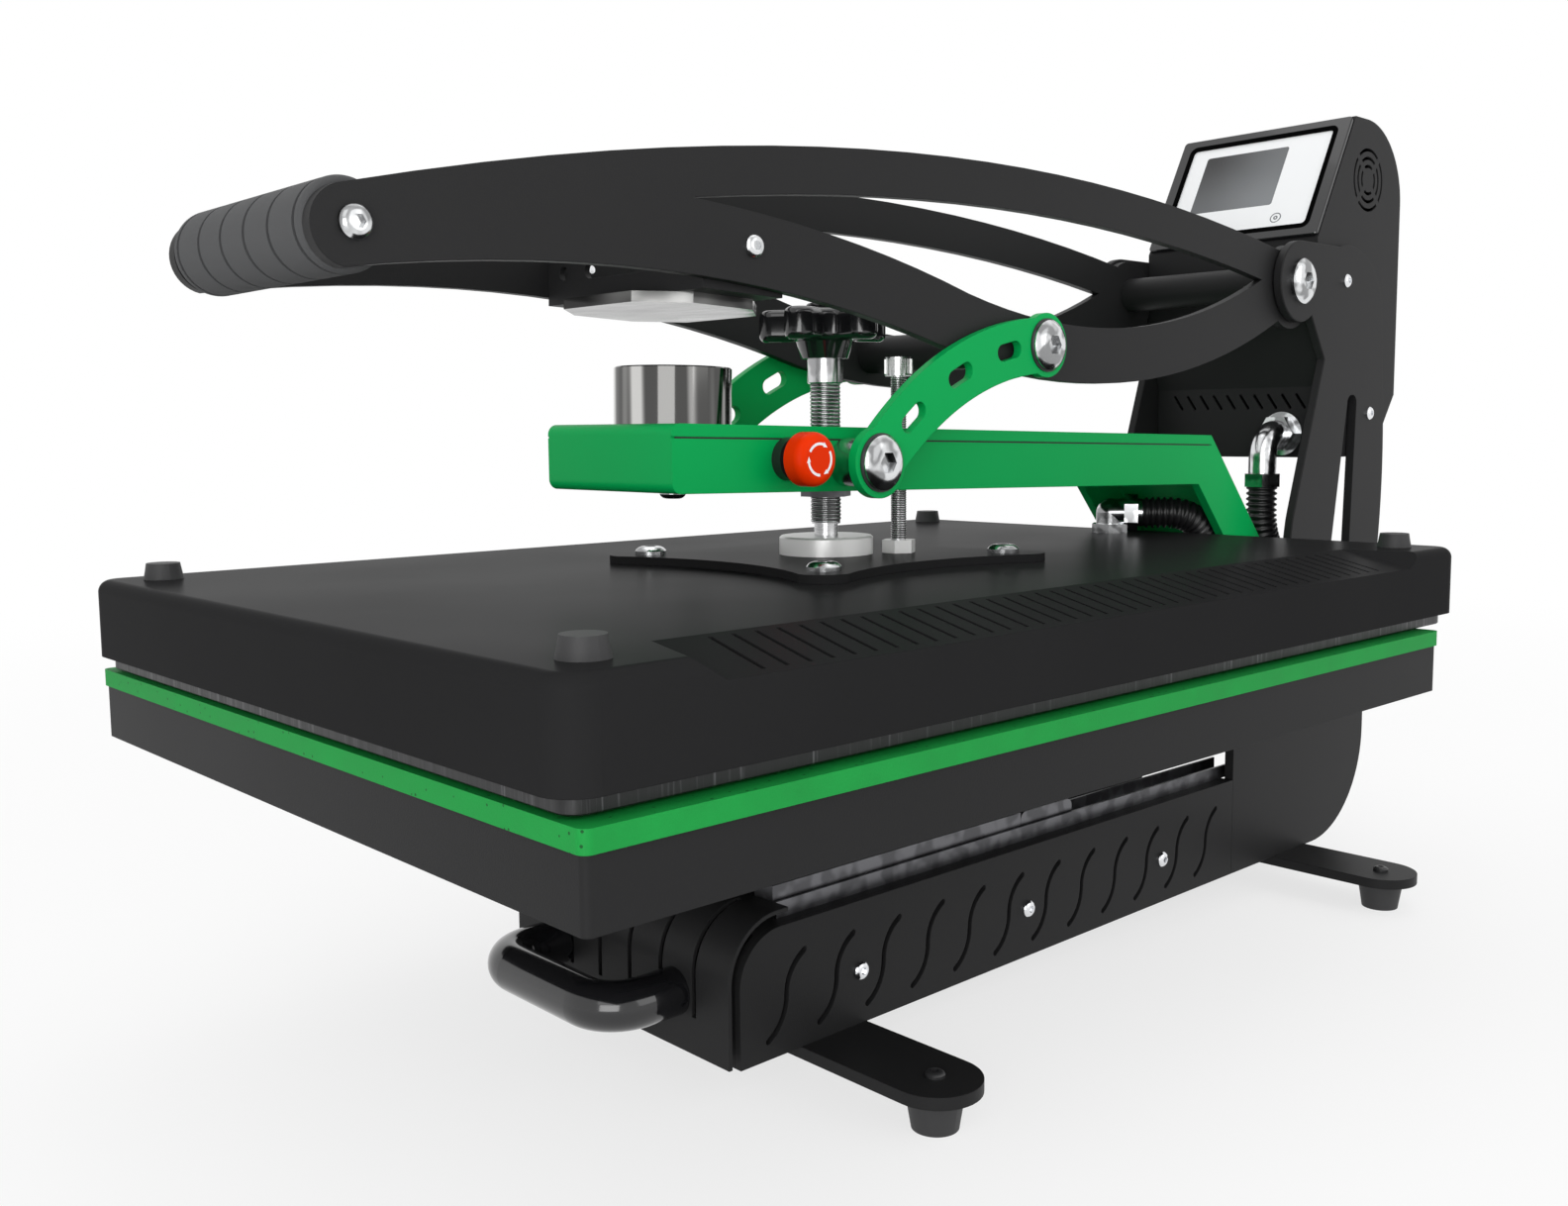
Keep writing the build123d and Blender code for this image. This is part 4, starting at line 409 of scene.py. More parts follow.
def metal(name, colour, roughness, stretch, bump=0.05, spread=0.12, reflection_patches=(90.0, 90.0, 90.0), depth=0.4):
    # A bare metal with fine lines, darker in patches of painted reflection by a given depth.
    material, tree, shader = new_material(name)
    # Painted reflection: the base colour darkens in noise patches that stand in for dark things mirrored in the
    # metal.
    share = ranged(tree, noise(tree, object_place(tree, reflection_patches), 1.0, 1.0), 0.40, 0.58)
    wire(tree, shader["Base Color"], tinted(tree, share, [c * (1 - depth) for c in colour], colour))
    shader["Metallic"].default_value = 1.0
    lines = placed_group(
        tree, "Brushed lines", brushing_group, stretch=stretch, roughness=roughness, spread=spread
    )
    wire(tree, shader["Roughness"], lines["Roughness"])
    wire(tree, shader["Normal"], relief(tree, lines["Height"], bump, 0.0001))
    return material


def surface_place(tree):
    # The three coordinates of each point of the surface, apart.
    split = tree.nodes.new("ShaderNodeSeparateXYZ")
    tree.links.new(object_place(tree), split.inputs[0])
    return split.outputs


def plated_material():
    # A thick plated plate with an uneven polish and painted reflections that make it darker in patches.
    material, tree, shader = new_material("plated catch")
    cloud = noise(tree, object_place(tree, (14.0, 30.0, 30.0)), 1.0, 2.0)
    reflection_patches = ranged(tree, cloud, 0.38, 0.62)
    # Painted reflection: the base colour swings from near black to grey in cloudy patches.
    wire(tree, shader["Base Color"], tinted(tree, reflection_patches, (0.03, 0.03, 0.03), (0.25, 0.25, 0.245)))
    shader["Metallic"].default_value = 0.5
    shader["Specular IOR Level"].default_value = 0.1
    wire(tree, shader["Roughness"], ranged(tree, cloud, 0.3, 0.7, 0.10, 0.20))
    wire(tree, shader["Normal"], relief(tree, cloud, 0.3, 0.004))
    return material


def screw_material():
    # Bright heads everywhere but low down, where the screws of the foot bars are black.
    material, tree, shader = new_material("screw heads")
    axes = surface_place(tree)
    bright = calc(tree, "GREATER_THAN", axes["Z"], FOOT_BAR_TOP + FOOT_SCREW_RISE)
    wire(tree, shader["Base Color"], tinted(tree, bright, (0.02, 0.02, 0.021), (0.80, 0.81, 0.83)))
    wire(tree, shader["Metallic"], bright)
    wire(tree, shader["Roughness"], ranged(tree, bright, 0.0, 1.0, 0.4, 0.14))
    return material


def threaded_material(name, low, high):
    # Turned steel whose cut part, between two heights, has painted shade between the crests of its thread.
    material, tree, shader = new_material(name)
    axes = surface_place(tree)
    # Painted shade: the rod is dark where the roots of its thread lie between the crests.
    cut = calc(
        tree,
        "MULTIPLY",
        calc(tree, "GREATER_THAN", axes["Z"], low),
        calc(tree, "LESS_THAN", axes["Z"], high),
    )
    wire(tree, shader["Base Color"], tinted(tree, cut, (0.66, 0.66, 0.67), (0.10, 0.10, 0.10)))
    shader["Metallic"].default_value = 1.0
    lines = placed_group(
        tree, "Brushed lines", brushing_group, stretch=(30.0, 30.0, 700.0), roughness=0.26, spread=0.12
    )
    wire(tree, shader["Roughness"], lines["Roughness"])
    wire(tree, shader["Normal"], relief(tree, lines["Height"], 0.08, 0.0001))
    return material


def sponge_material(colour):
    # Green silicone sponge with small pores darkened by painted shade.
    material, tree, shader = new_material("green silicone sponge")
    uneven = placed_group(
        tree, "Uneven surface", uneven_group, fine_scale=1300.0, broad_scale=60.0, roughness=0.62, spread=0.1
    )
    pores = placed_group(tree, "Open pores", pore_group, scale=380.0, share=0.22, size=0.22)
    skin = tinted(tree, uneven["Tone"], [c * 0.86 for c in colour], [min(1.0, c * 1.14) for c in colour])
    # Painted shade: the pores' colour is darkened to stand in for the shade inside them.
    wire(tree, shader["Base Color"], tinted(tree, pores["Pores"], skin, [c * 0.3 for c in colour]))
    wire(tree, shader["Roughness"], uneven["Roughness"])
    shader["Specular IOR Level"].default_value = 0.2
    depth = calc(tree, "SUBTRACT", uneven["Height"], pores["Pores"])
    wire(tree, shader["Normal"], relief(tree, depth, 0.35, 0.0002))
    return material


def sawn_edge_material():
    # Dark cast plate whose sawn edge has upright light streaks.
    material, tree, shader = new_material("sawn plate edge")
    streaks = noise(tree, object_place(tree, (260.0, 260.0, 6.0)), 2.2, 6.0)
    light = ranged(tree, streaks, 0.56, 0.86)
    wire(tree, shader["Base Color"], tinted(tree, light, (0.014, 0.014, 0.015), (0.22, 0.22, 0.23)))
    wire(tree, shader["Metallic"], ranged(tree, streaks, 0.5, 0.8, 0.3, 0.9))
    wire(tree, shader["Roughness"], ranged(tree, streaks, 0.3, 0.8, 0.5, 0.32))
    wire(tree, shader["Normal"], relief(tree, streaks, 0.25, 0.0002))
    return material


def display_material():
    # A dark screen under glass with a painted glare that grows paler towards its right side and its foot.
    material, tree, shader = new_material("display glass")
    shader["Coat Weight"].default_value = 0.2
    shader["Coat Roughness"].default_value = 0.06
    axes = surface_place(tree)
    # Painted glare: the colour pales towards the right side and the foot of the window.
    across = ranged(tree, axes["X"], DISPLAY_LOW[0], DISPLAY_HIGH[0])
    rise = ranged(tree, axes["Z"], DISPLAY_LOW[2], DISPLAY_HIGH[2], 1.0, 0.0)
    share = calc(tree, "MULTIPLY_ADD", rise, 0.45, calc(tree, "MULTIPLY", across, 0.55), clamp=True)
    wire(tree, shader["Base Color"], tinted(tree, share, (0.010, 0.010, 0.011), (0.18, 0.19, 0.20)))
    wire(tree, shader["Roughness"], ranged(tree, noise(tree, object_place(tree), 60.0, 2.0), 0.2, 0.8, 0.10, 0.2))
    return material


def finish_by_node(settings):
    # The material of every solid of the frame, by the solid's name.
    black = tuple(settings.frame_paint)
    green = tuple(settings.lift_paint)
    powder = coated("black powder coat", black, 0.46, 1400.0, 0.3, edge=0.0007, specular_ior_level=0.11)
    lift = coated("green powder coat", green, 0.34, 1100.0, 0.2, tone=0.10, edge=0.0008, specular_ior_level=0.07)
    cover = coated("black cover paint", black, 0.30, 1600.0, 0.08, edge=0.0006, specular_ior_level=0.003)
    box = coated("black box paint", black, 0.45, 1300.0, 0.3, edge=0.0008, specular_ior_level=0.07)
    # Painted reflection: upright dark bands on the magnet's face stand in for a mirrored banded studio.
    mirror = metal(
        "polished magnet face",
        (0.62, 0.615, 0.60),
        0.09,
        (30.0, 30.0, 2.0),
        bump=0.02,
        spread=0.05,
        reflection_patches=(85.0, 85.0, 0.5),
        depth=0.86,
    )
    # Painted reflection: soft dark patches on the chrome stand in for its mirrored surroundings.
    chrome = metal(
        "bright chrome",
        (0.74, 0.75, 0.76),
        0.19,
        (60.0, 60.0, 60.0),
        bump=0.03,
        spread=0.08,
        reflection_patches=(120.0, 120.0, 120.0),
        depth=0.6,
    )
    satin = coated("satin steel", (0.82, 0.82, 0.81), 0.30, 900.0, 0.04, tone=0.06, metallic=0.35)
    turned = metal("turned steel", (0.62, 0.62, 0.63), 0.22, (30.0, 30.0, 700.0), bump=0.1)
    slide = metal("dark zinc slide", (0.16, 0.16, 0.17), 0.36, (500.0, 15.0, 500.0), bump=0.1)
    rubber = coated("black rubber", (0.022, 0.022, 0.023), 0.6, 1800.0, 0.3, tone=0.3)
    foam = coated("grey grip foam", (0.050, 0.051, 0.053), 0.80, 2600.0, 0.5, tone=0.3)
    plastic = coated("black plastic", (0.014, 0.014, 0.015), 0.36, 1500.0, 0.2)
    gloss = coated("gloss black plastic", (0.008, 0.008, 0.009), 0.14, 500.0, 0.02, spread=0.04, coat_weight=0.4)
    stop = tuple(settings.stop_colour)
    red = coated("red button plastic", stop, 0.36, 700.0, 0.05, tone=0.08, specular_ior_level=0.04)
    white = coated("white front panel", (0.80, 0.81, 0.82), 0.26, 600.0, 0.03, tone=0.03, coat_weight=0.2)
    hose = coated("black conduit", (0.012, 0.012, 0.013), 0.34, 900.0, 0.1)
    fibre = coated("fibre insulation", (0.045, 0.043, 0.040), 0.9, 900.0, 0.8)
    groups = {
        powder: (
            "chassis rail_cover_left rail_cover_right side_plate_left side_plate_right control_box foot_bars "
            "arm_left arm_right arm_pivot_tube arm_cross_tube handle_bar catch_bracket drawer_front"
        ),
        cover: "platen_cover mount_plate",
        box: "lower_box",
        lift: "lift_beam link_left link_right",
        mirror: "magnet",
        chrome: "pivot_bolts upper_elbow lower_elbow handle_bolts arm_screws magnet_screw link_bolts mount_screws",
        satin: "spindle_disc guide_nut",
        turned: "spindle_collar pivot_shaft beam_shaft link_spacers",
        slide: "outer_slides inner_slides middle_slides spindle_nut",
        threaded_material("spindle steel", SPINDLE_FOOT, COLLAR_FOOT): "spindle",
        threaded_material("guide bolt steel", GUIDE_FOOT, GUIDE_TOP): "guide_bolt",
        plated_material(): "catch_plate",
        sawn_edge_material(): "heat_plate",
        rubber: "rubber_feet bumpers",
        foam: "handle_grip",
        sponge_material(tuple(settings.pad_colour)): "press_pad",
        plastic: "power_inlet stop_collar stop_stem",
        gloss: "drawer_handle power_switch knob screen_bezel",
        red: "stop_head",
        white: "screen_panel",
        hose: "conduit_hose",
        fibre: "insulation",
        screw_material(): "frame_screws",
        display_material(): "display_window",
    }
    return {name: material for material, names in groups.items() for name in names.split()}


def shape_tree(name, inputs):
    # An empty geometry tree with its named inputs and a material, and the joined end that every tree has.
    tree = bpy.data.node_groups.new(name, "GeometryNodeTree")
    tree.interface.new_socket(name="Geometry", in_out="INPUT", socket_type="NodeSocketGeometry")
    for socket, kind, value in inputs:
        tree.interface.new_socket(name=socket, in_out="INPUT", socket_type=kind).default_value = value
    tree.interface.new_socket(name="Material", in_out="INPUT", socket_type="NodeSocketMaterial")
    tree.interface.new_socket(name="Geometry", in_out="OUTPUT", socket_type="NodeSocketGeometry")
    given = tree.nodes.new("NodeGroupInput").outputs
    put = tree.nodes.new("NodeGroupOutput").inputs
    real = tree.nodes.new("GeometryNodeRealizeInstances")
    painted = tree.nodes.new("GeometryNodeSetMaterial")
    wire(tree, painted.inputs["Geometry"], real.outputs[0])
    wire(tree, painted.inputs["Material"], given["Material"])
    wire(tree, put["Geometry"], painted.outputs[0])
    return tree, given, real.inputs["Geometry"]


def shape_node(tree, kind, **values):
    # A geometry node with some of its inputs set by name.
    node = tree.nodes.new(kind)
    for name, value in values.items():
        wire(tree, node.inputs[name.replace("_", " ").title()], value)
    return node.outputs


def ridge_tree():
    # One round ridge that winds up from the ground plane round the upright axis.
    lengths = (("Crest", 0.0083), ("Pitch", 0.002), ("Length", 0.05), ("Fullness", 0.4))
    tree, given, put = shape_tree("Winding ridge", [(name, "NodeSocketFloat", value) for name, value in lengths])
    thick = calc(tree, "MULTIPLY", given["Pitch"], given["Fullness"])
    middle = calc(tree, "SUBTRACT", given["Crest"], thick)
    turns = calc(tree, "DIVIDE", given["Length"], given["Pitch"])
    line = tree.nodes.new("GeometryNodeCurveSpiral")
    line.inputs["Resolution"].default_value = 30
    for socket, value in (
        ("Rotations", turns),
        ("Start Radius", middle),
        ("End Radius", middle),
        ("Height", given["Length"]),
    ):
        wire(tree, line.inputs[socket], value)
    section = shape_node(tree, "GeometryNodeCurvePrimitiveCircle", resolution=8, radius=thick)
    wound = shape_node(
        tree, "GeometryNodeCurveToMesh", curve=line.outputs[0], profile_curve=section["Curve"], fill_caps=True
    )
    wire(tree, put, wound["Mesh"])
    return tree


def ring_tree():
    # The object's own mesh, repeated at even angles round the upright axis through its origin.
    tree, given, put = shape_tree("Copies round an axis", [("Count", "NodeSocketInt", 3)])
    points = shape_node(tree, "GeometryNodeMeshLine", count=given["Count"], offset=(0.0, 0.0, 0.0))
    step = calc(tree, "DIVIDE", 2 * pi, given["Count"])
    index = tree.nodes.new("GeometryNodeInputIndex").outputs[0]
    turn = tree.nodes.new("ShaderNodeCombineXYZ")
    wire(tree, turn.inputs["Z"], calc(tree, "MULTIPLY", index, step))
    copies = tree.nodes.new("GeometryNodeInstanceOnPoints")
    wire(tree, copies.inputs["Points"], points["Mesh"])
    wire(tree, copies.inputs["Instance"], given["Geometry"])
    wire(tree, copies.inputs["Rotation"], turn.outputs[0])
    wire(tree, put, copies.outputs[0])
    return tree


def conduit_tree():
    # A ribbed tube along the object's own line, with its corners already rounded.
    lengths = (("Outer", 0.0105), ("Root", 0.0089), ("Pitch", 0.0039), ("Step", 0.0005))
    tree, given, put = shape_tree("Ribbed conduit", [(name, "NodeSocketFloat", value) for name, value in lengths])
    line = shape_node(tree, "GeometryNodeMeshToCurve", mesh=given["Geometry"])
    even = tree.nodes.new("GeometryNodeResampleCurve")
    even.mode = "LENGTH"
    wire(tree, even.inputs["Curve"], line["Curve"])
    wire(tree, even.inputs["Length"], given["Step"])
    run = tree.nodes.new("GeometryNodeSplineParameter").outputs["Length"]
    phase = calc(tree, "MULTIPLY", calc(tree, "DIVIDE", run, given["Pitch"]), 2 * pi)
    wave = calc(tree, "MULTIPLY_ADD", calc(tree, "SINE", phase), 1.1, 0.5, clamp=True)
    rise = calc(tree, "SUBTRACT", given["Outer"], given["Root"])
    radius = calc(tree, "MULTIPLY_ADD", wave, rise, given["Root"])
    section = shape_node(tree, "GeometryNodeCurvePrimitiveCircle", resolution=28, radius=1.0)
    tube = shape_node(
        tree,
        "GeometryNodeCurveToMesh",
        curve=even.outputs[0],
        profile_curve=section["Curve"],
        scale=radius,
        fill_caps=True,
    )
    wire(tree, put, tube["Mesh"])
    return tree


def grown(name, tree_name, maker, seed, **values):
    # A plain mesh object that a geometry tree makes from a seed mesh, with the tree's inputs set by name.
    tree = bpy.data.node_groups.get(tree_name) or maker()
    source = bpy.data.objects.new(name + "_source", seed)
    bpy.context.scene.collection.objects.link(source)
    modifier = source.modifiers.new("shape", "NODES")
    modifier.node_group = tree
    for item in tree.interface.items_tree:
        key = item.name.lower()
        if item.in_out == "INPUT" and key in values:
            modifier[item.identifier] = values[key]
    depsgraph = bpy.context.evaluated_depsgraph_get()
    mesh = bpy.data.meshes.new_from_object(source.evaluated_get(depsgraph))
    bpy.data.objects.remove(source, do_unlink=True)
    if not mesh.polygons:
        raise RuntimeError(name + " came out empty")
    mesh.name = name
    piece = bpy.data.objects.new(name, mesh)
    bpy.context.scene.collection.objects.link(piece)
    return piece


def settle(piece, place=None, smooth=True):
    # The piece's place goes into its mesh, its normals point outwards and its faces are smooth or flat.
    work = bmesh.new()
    work.from_mesh(piece.data)
    if place is not None:
        work.transform(place)
    bmesh.ops.remove_doubles(work, verts=work.verts, dist=1e-7)
    bmesh.ops.recalc_face_normals(work, faces=work.faces)
    work.to_mesh(piece.data)
    work.free()
    for face in piece.data.polygons:
        face.use_smooth = smooth
    return piece


def flat_outline(points, thickness):
    # A thin plate on the ground plane from a closed outline.
    work = bmesh.new()
    low = work.faces.new([work.verts.new((x, y, 0.0)) for x, y in points])
    risen = bmesh.ops.extrude_face_region(work, geom=[low])
    tops = [part for part in risen["geom"] if isinstance(part, bmesh.types.BMVert)]
    bmesh.ops.translate(work, verts=tops, vec=(0.0, 0.0, thickness))
    mesh = bpy.data.meshes.new("outline")
    work.to_mesh(mesh)
    work.free()
    return mesh


def arc(radius, angles):
    # Points at a radius round the origin.
    return [(radius * cos(angle), radius * sin(angle)) for angle in angles]


def circle(radius, sides=48):
    # The corners of a fine polygon round the origin.
    return arc(radius, [2 * pi * n / sides for n in range(sides)])


def rounded_rectangle(width, height, radius, steps=6):
    # The corners of a rectangle with round corners, round the origin.
    points = []
    for turn, (side, rise) in enumerate(((1, 1), (-1, 1), (-1, -1), (1, -1))):
        for n in range(steps + 1):
            angle = (turn + n / steps) * pi / 2
            x = side * (width / 2 - radius) + radius * cos(angle)
            points.append((x, rise * (height / 2 - radius) + radius * sin(angle)))
    return points


def flat_ring(inner, outer, thickness):
    # A thin ring on the ground plane between two outlines with as many corners.
    work = bmesh.new()
    loops = []
    for outline, height in ((inner, 0.0), (outer, 0.0), (outer, thickness), (inner, thickness)):
        loops.append([work.verts.new((x, y, height)) for x, y in outline])
    sides = len(inner)
    for ring, after in zip(loops, loops[1:] + loops[:1]):
        for n in range(sides):
            m = (n + 1) % sides
            work.faces.new((ring[n], ring[m], after[m], after[n]))
    mesh = bpy.data.meshes.new("ring")
    work.to_mesh(mesh)
    work.free()
    return mesh


def placed(name, mesh, material, place, smooth=False):
    # An object with one material, put in its place.
    mesh.name = name
    piece = bpy.data.objects.new(name, mesh)
    bpy.context.scene.collection.objects.link(piece)
    mesh.materials.append(material)
    return settle(piece, place, smooth)


def axis_place(x, y, z, toward):
    # A place whose upright axis points along a direction.
    turn = Vector((0.0, 0.0, 1.0)).rotation_difference(Vector(toward)).to_matrix().to_4x4()
    return Matrix.Translation((x, y, z)) @ turn


def node_finish(name):
    # The material that a solid of the frame has been given.
    return NODES[name].data.materials[0]


class PRESS_OT_finishes(bpy.types.Operator):
    """Give every solid of the frame its material"""

    bl_idname = "press.finishes"
    bl_label = "Finishes"

    def execute(self, context):
        finishes = finish_by_node(context.scene.press_finish)
        for name, obj in NODES.items():
            obj.data.materials.clear()
            obj.data.materials.append(finishes[name])
        return {"FINISHED"}


def wind_thread(name, crest, pitch, fullness, foot, top, body):
    # One thread round an upright axis, from the middle of its foot up to a height.
    thread = grown(
        name,
        "Winding ridge",
        ridge_tree,
        bpy.data.meshes.new("seed"),
        crest=crest,
        pitch=pitch,
        length=top - foot[2],
        fullness=fullness,
        material=node_finish("spindle_collar"),
    )
    settle(thread, Matrix.Translation(foot))
    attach(thread, body)


class PRESS_OT_threads(bpy.types.Operator):
    """Wind the threads round the spindle and the guide bolt"""

    bl_idname = "press.threads"
    bl_label = "Threads"

    def execute(self, context):
        sizes = context.scene.press_thread
        foot = (SPINDLE_X, SPINDLE_Y, SPINDLE_FOOT)
        crest, pitch = sizes.spindle_crest, sizes.spindle_pitch
        wind_thread("spindle_thread", crest, pitch, sizes.fullness, foot, COLLAR_FOOT, "pressure_screw")
        foot = (GUIDE_X, GUIDE_Y, GUIDE_FOOT)
        crest, pitch = sizes.guide_crest, sizes.guide_pitch
        wind_thread("guide_thread", crest, pitch, sizes.fullness, foot, GUIDE_TOP, "platen")
        return {"FINISHED"}


class PRESS_OT_knurl(bpy.types.Operator):
    """Set the ridges round the guide bolt's head"""

    bl_idname = "press.knurl"
    bl_label = "Knurled head"

    def execute(self, context):
        count = context.scene.press_thread.knurl_count
        radius = (GUIDE_HIGH[0] - GUIDE_LOW[0]) / 2
        share, sunk, proud = 0.62, 0.0004, 0.0003
        half = pi * radius / count * share
        corners = [(radius - sunk, -half), (radius + proud, 0.0), (radius - sunk, half)]
        bars = grown(
            "guide_knurl",
            "Copies round an axis",
            ring_tree,
            flat_outline(corners, KNURL_LENGTH),
            count=count,
            material=node_finish("guide_nut"),
        )
        settle(bars, Matrix.Translation((GUIDE_X, GUIDE_Y, GUIDE_HIGH[2] - KNURL_DROP)), smooth=False)
        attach(bars, "platen")
        return {"FINISHED"}


class PRESS_OT_arrows(bpy.types.Operator):
    """Set the turning arrows on the stop button's face"""

    bl_idname = "press.arrows"
    bl_label = "Stop arrows"

    def execute(self, context):
        sizes = context.scene.press_mark
        white = coated("white arrow print", (0.80, 0.80, 0.80), 0.4, 900.0, 0.02, tone=0.04)
        middle = sizes.arrow_radius
        half = sizes.arrow_width / 2
        barb = 1.9 * half
        sunk = 0.00022
        sweep = [radians(angle) for angle in range(0, 81, 5)]
        neck, tip = sweep[-1:], [radians(101)]
        outline = arc(middle + half, sweep)
        outline += arc(middle + barb, neck) + arc(middle, tip) + arc(middle - barb, neck)
        outline += arc(middle - half, reversed(sweep))
        arrows = grown(
            "stop_arrows",
            "Copies round an axis",
            ring_tree,
            flat_outline(outline, 0.0003),
            count=3,
            material=white,
        )
        face = Matrix.Translation((STOP_HIGH[0] - sunk, STOP_Y, STOP_Z)) @ Matrix.Rotation(pi / 2, 4, "Y")
        mirrored = Matrix.Scale(-1.0, 4, (0.0, 1.0, 0.0))
        settle(arrows, face @ mirrored, smooth=False)
        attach(arrows, "stop_button")
        return {"FINISHED"}


class PRESS_OT_seams(bpy.types.Operator):
    """Fill the seams along the beam's sides with a dark strip of painted shade"""

    bl_idname = "press.seams"
    bl_label = "Beam seams"

    def execute(self, context):
        sizes = context.scene.press_mark
        # Painted shade: a thin dark strip stands in for the shadow in the gap between the beam's top and side plates.
        dark = coated("painted seam shade", (0.004, 0.006, 0.005), 0.7, 900.0, 0.1)
        run = sizes.seam_length
        fall = run * tan(BEAM_FALL)
        half = sizes.seam_width / 2
        thickness = 0.0004
        inset = 0.00004
        corners = [(SEAM_START, half), (run, half - fall), (run, -half - fall), (SEAM_START, -half)]
        turn = Matrix(((0.0, 0.0, 1.0), (1.0, 0.0, 0.0), (0.0, 1.0, 0.0))).to_4x4()
        sides = (("beam_seam_shade_left", BEAM_LOW[0] + inset), ("beam_seam_shade_right", BEAM_HIGH[0] - inset - thickness))
        for name, x in sides:
            spot = Matrix.Translation((x, BEAM_LOW[1], BEAM_HIGH[2] - SEAM_DROP)) @ turn
            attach(placed(name, flat_outline(corners, thickness), dark, spot), "lift")
        return {"FINISHED"}


class PRESS_OT_washers(bpy.types.Operator):
    """Put the thin black washers behind the link bolts' heads"""

    bl_idname = "press.washers"
    bl_label = "Link washers"

    def execute(self, context):
        radius = context.scene.press_mark.washer_radius
        rubber = node_finish("rubber_feet")
        bore, thickness, sunk = 0.006, 0.0011, 0.0002
        lower = (BOLTS_LOW[1] + BOLT_RADIUS, BOLTS_LOW[2] + BOLT_RADIUS)
        upper = (BOLTS_HIGH[1] - BOLT_RADIUS, BOLTS_HIGH[2] - BOLT_RADIUS)
        for side in (-1, 1):
            for place, (y, z) in (("foot", lower), ("top", upper)):
                name = f"washer_{place}_{'left' if side < 0 else 'right'}"
                spot = axis_place(side * (LINK_FACE - sunk), y, z, (side, 0, 0))
                ring = flat_ring(circle(bore), circle(radius), thickness)
                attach(placed(name, ring, rubber, spot), "links")
        return {"FINISHED"}


def panel_place(across, rise, lift):
    # A place on the front panel, from its middle: across it, up its slope and out of its face.
    size_y = PANEL_HIGH[1] - PANEL_LOW[1]
    size_z = PANEL_HIGH[2] - PANEL_LOW[2]
    rough = atan2(size_y, size_z)
    tilt = atan2(size_y - PANEL_THICKNESS * cos(rough), size_z - PANEL_THICKNESS * sin(rough))
    out = Vector((0.0, -cos(tilt), sin(tilt)))
    up = Vector((0.0, sin(tilt), cos(tilt)))
    side = Vector((1.0, 0.0, 0.0))
    centre = (Vector(PANEL_LOW) + Vector(PANEL_HIGH)) / 2
    spot = centre + side * across + up * rise + out * (PANEL_THICKNESS / 2 + lift)
    return Matrix.Translation(spot) @ Matrix((side, up, out)).transposed().to_4x4()


class PRESS_OT_touch_mark(bpy.types.Operator):
    """Print the round touch mark on the front panel"""

    bl_idname = "press.touch_mark"
    bl_label = "Touch mark"

    def execute(self, context):
        grey = coated("grey panel print", (0.10, 0.11, 0.12), 0.4, 900.0, 0.02, tone=0.1)
        across, rise, sunk = 0.031, -0.031, 0.0002
        spot = panel_place(across, rise, -sunk)
        for name, inner, outer in (("touch_ring", 0.0034, 0.0041), ("touch_dot", 0.0007, 0.0016)):
            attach(placed(name, flat_ring(circle(inner), circle(outer), 0.0003), grey, spot), "frame")
        return {"FINISHED"}


class PRESS_OT_shade_rim(bpy.types.Operator):
    """Put a black rim of painted shade round the front panel"""

    bl_idname = "press.gasket"
    bl_label = "Panel shade rim"

    def execute(self, context):
        sizes = context.scene.press_mark
        # Painted shade: the near-black ring stands in for the shade of the panel's recess.
        black = coated("black shade rim", (0.001, 0.001, 0.001), 0.7, 700.0, 0.1, specular_ior_level=0.01)
        across = PANEL_HIGH[0] - PANEL_LOW[0]
        lap = sizes.shade_rim_lap
        reach = sizes.shade_rim_width - lap
        inner = rounded_rectangle(across - 2 * lap, PANEL_RISE - 2 * lap, PANEL_CORNER)
        outer = rounded_rectangle(across + 2 * reach, PANEL_RISE + 2 * reach, PANEL_CORNER + reach)
        spot = panel_place(0.0, 0.0, -0.0001)
        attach(placed("panel_shade_rim", flat_ring(inner, outer, 0.0014), black, spot), "frame")
        return {"FINISHED"}


def conduit_corners():
    # The corners of the conduit's way, from the upper elbow down, round under the pivot and up to the platen.
    top = Vector(((ELBOW_LOW[0] + ELBOW_HIGH[0]) / 2, CONDUIT_Y, ELBOW_LOW[2]))
    heading = Vector((sin(OUTLET_TURN), cos(OUTLET_TURN), 0.0))
    outlet = Vector(OUTLET_BEND) + heading * OUTLET_REACH
    drop = top - Vector((0.0, 0.0, CONDUIT_LEAD))
    return [top, drop, *map(Vector, CONDUIT_CORNERS), outlet + heading * CONDUIT_LEAD, outlet]


def rounded(corners, share=0.45, steps=14):
    # The way through the corners, each rounded by an arc that takes a share of the shorter leg.
    way = [corners[0]]
    for before, corner, after in zip(corners, corners[1:], corners[2:]):
        leg = share * min((corner - before).length, (after - corner).length)
        back = (before - corner).normalized()
        ahead = (after - corner).normalized()
        half = back.angle(ahead) / 2
        radius = leg * tan(half)
        centre = corner + (back + ahead).normalized() * (radius / sin(half))
        start = corner + back * leg - centre
        finish = corner + ahead * leg - centre
        swing = start.rotation_difference(finish)
        turns = (Quaternion(swing.axis, swing.angle * n / steps) for n in range(steps + 1))
        way += [centre + turn @ start for turn in turns]
    way.append(corners[-1])
    return way


def split_way(way, length):
    # The way cut in two at a length from its start.
    run = 0.0
    for n, (here, there) in enumerate(zip(way, way[1:])):
        step = (there - here).length
        if run + step >= length:
            cut = here.lerp(there, (length - run) / step)
            return [*way[: n + 1], cut], [cut, *way[n + 1 :]]
        run += step
    raise ValueError("the way is shorter than the cut")


def way_length(way):
    # The length of a way along its points.
    return sum((after - before).length for before, after in zip(way, way[1:]))


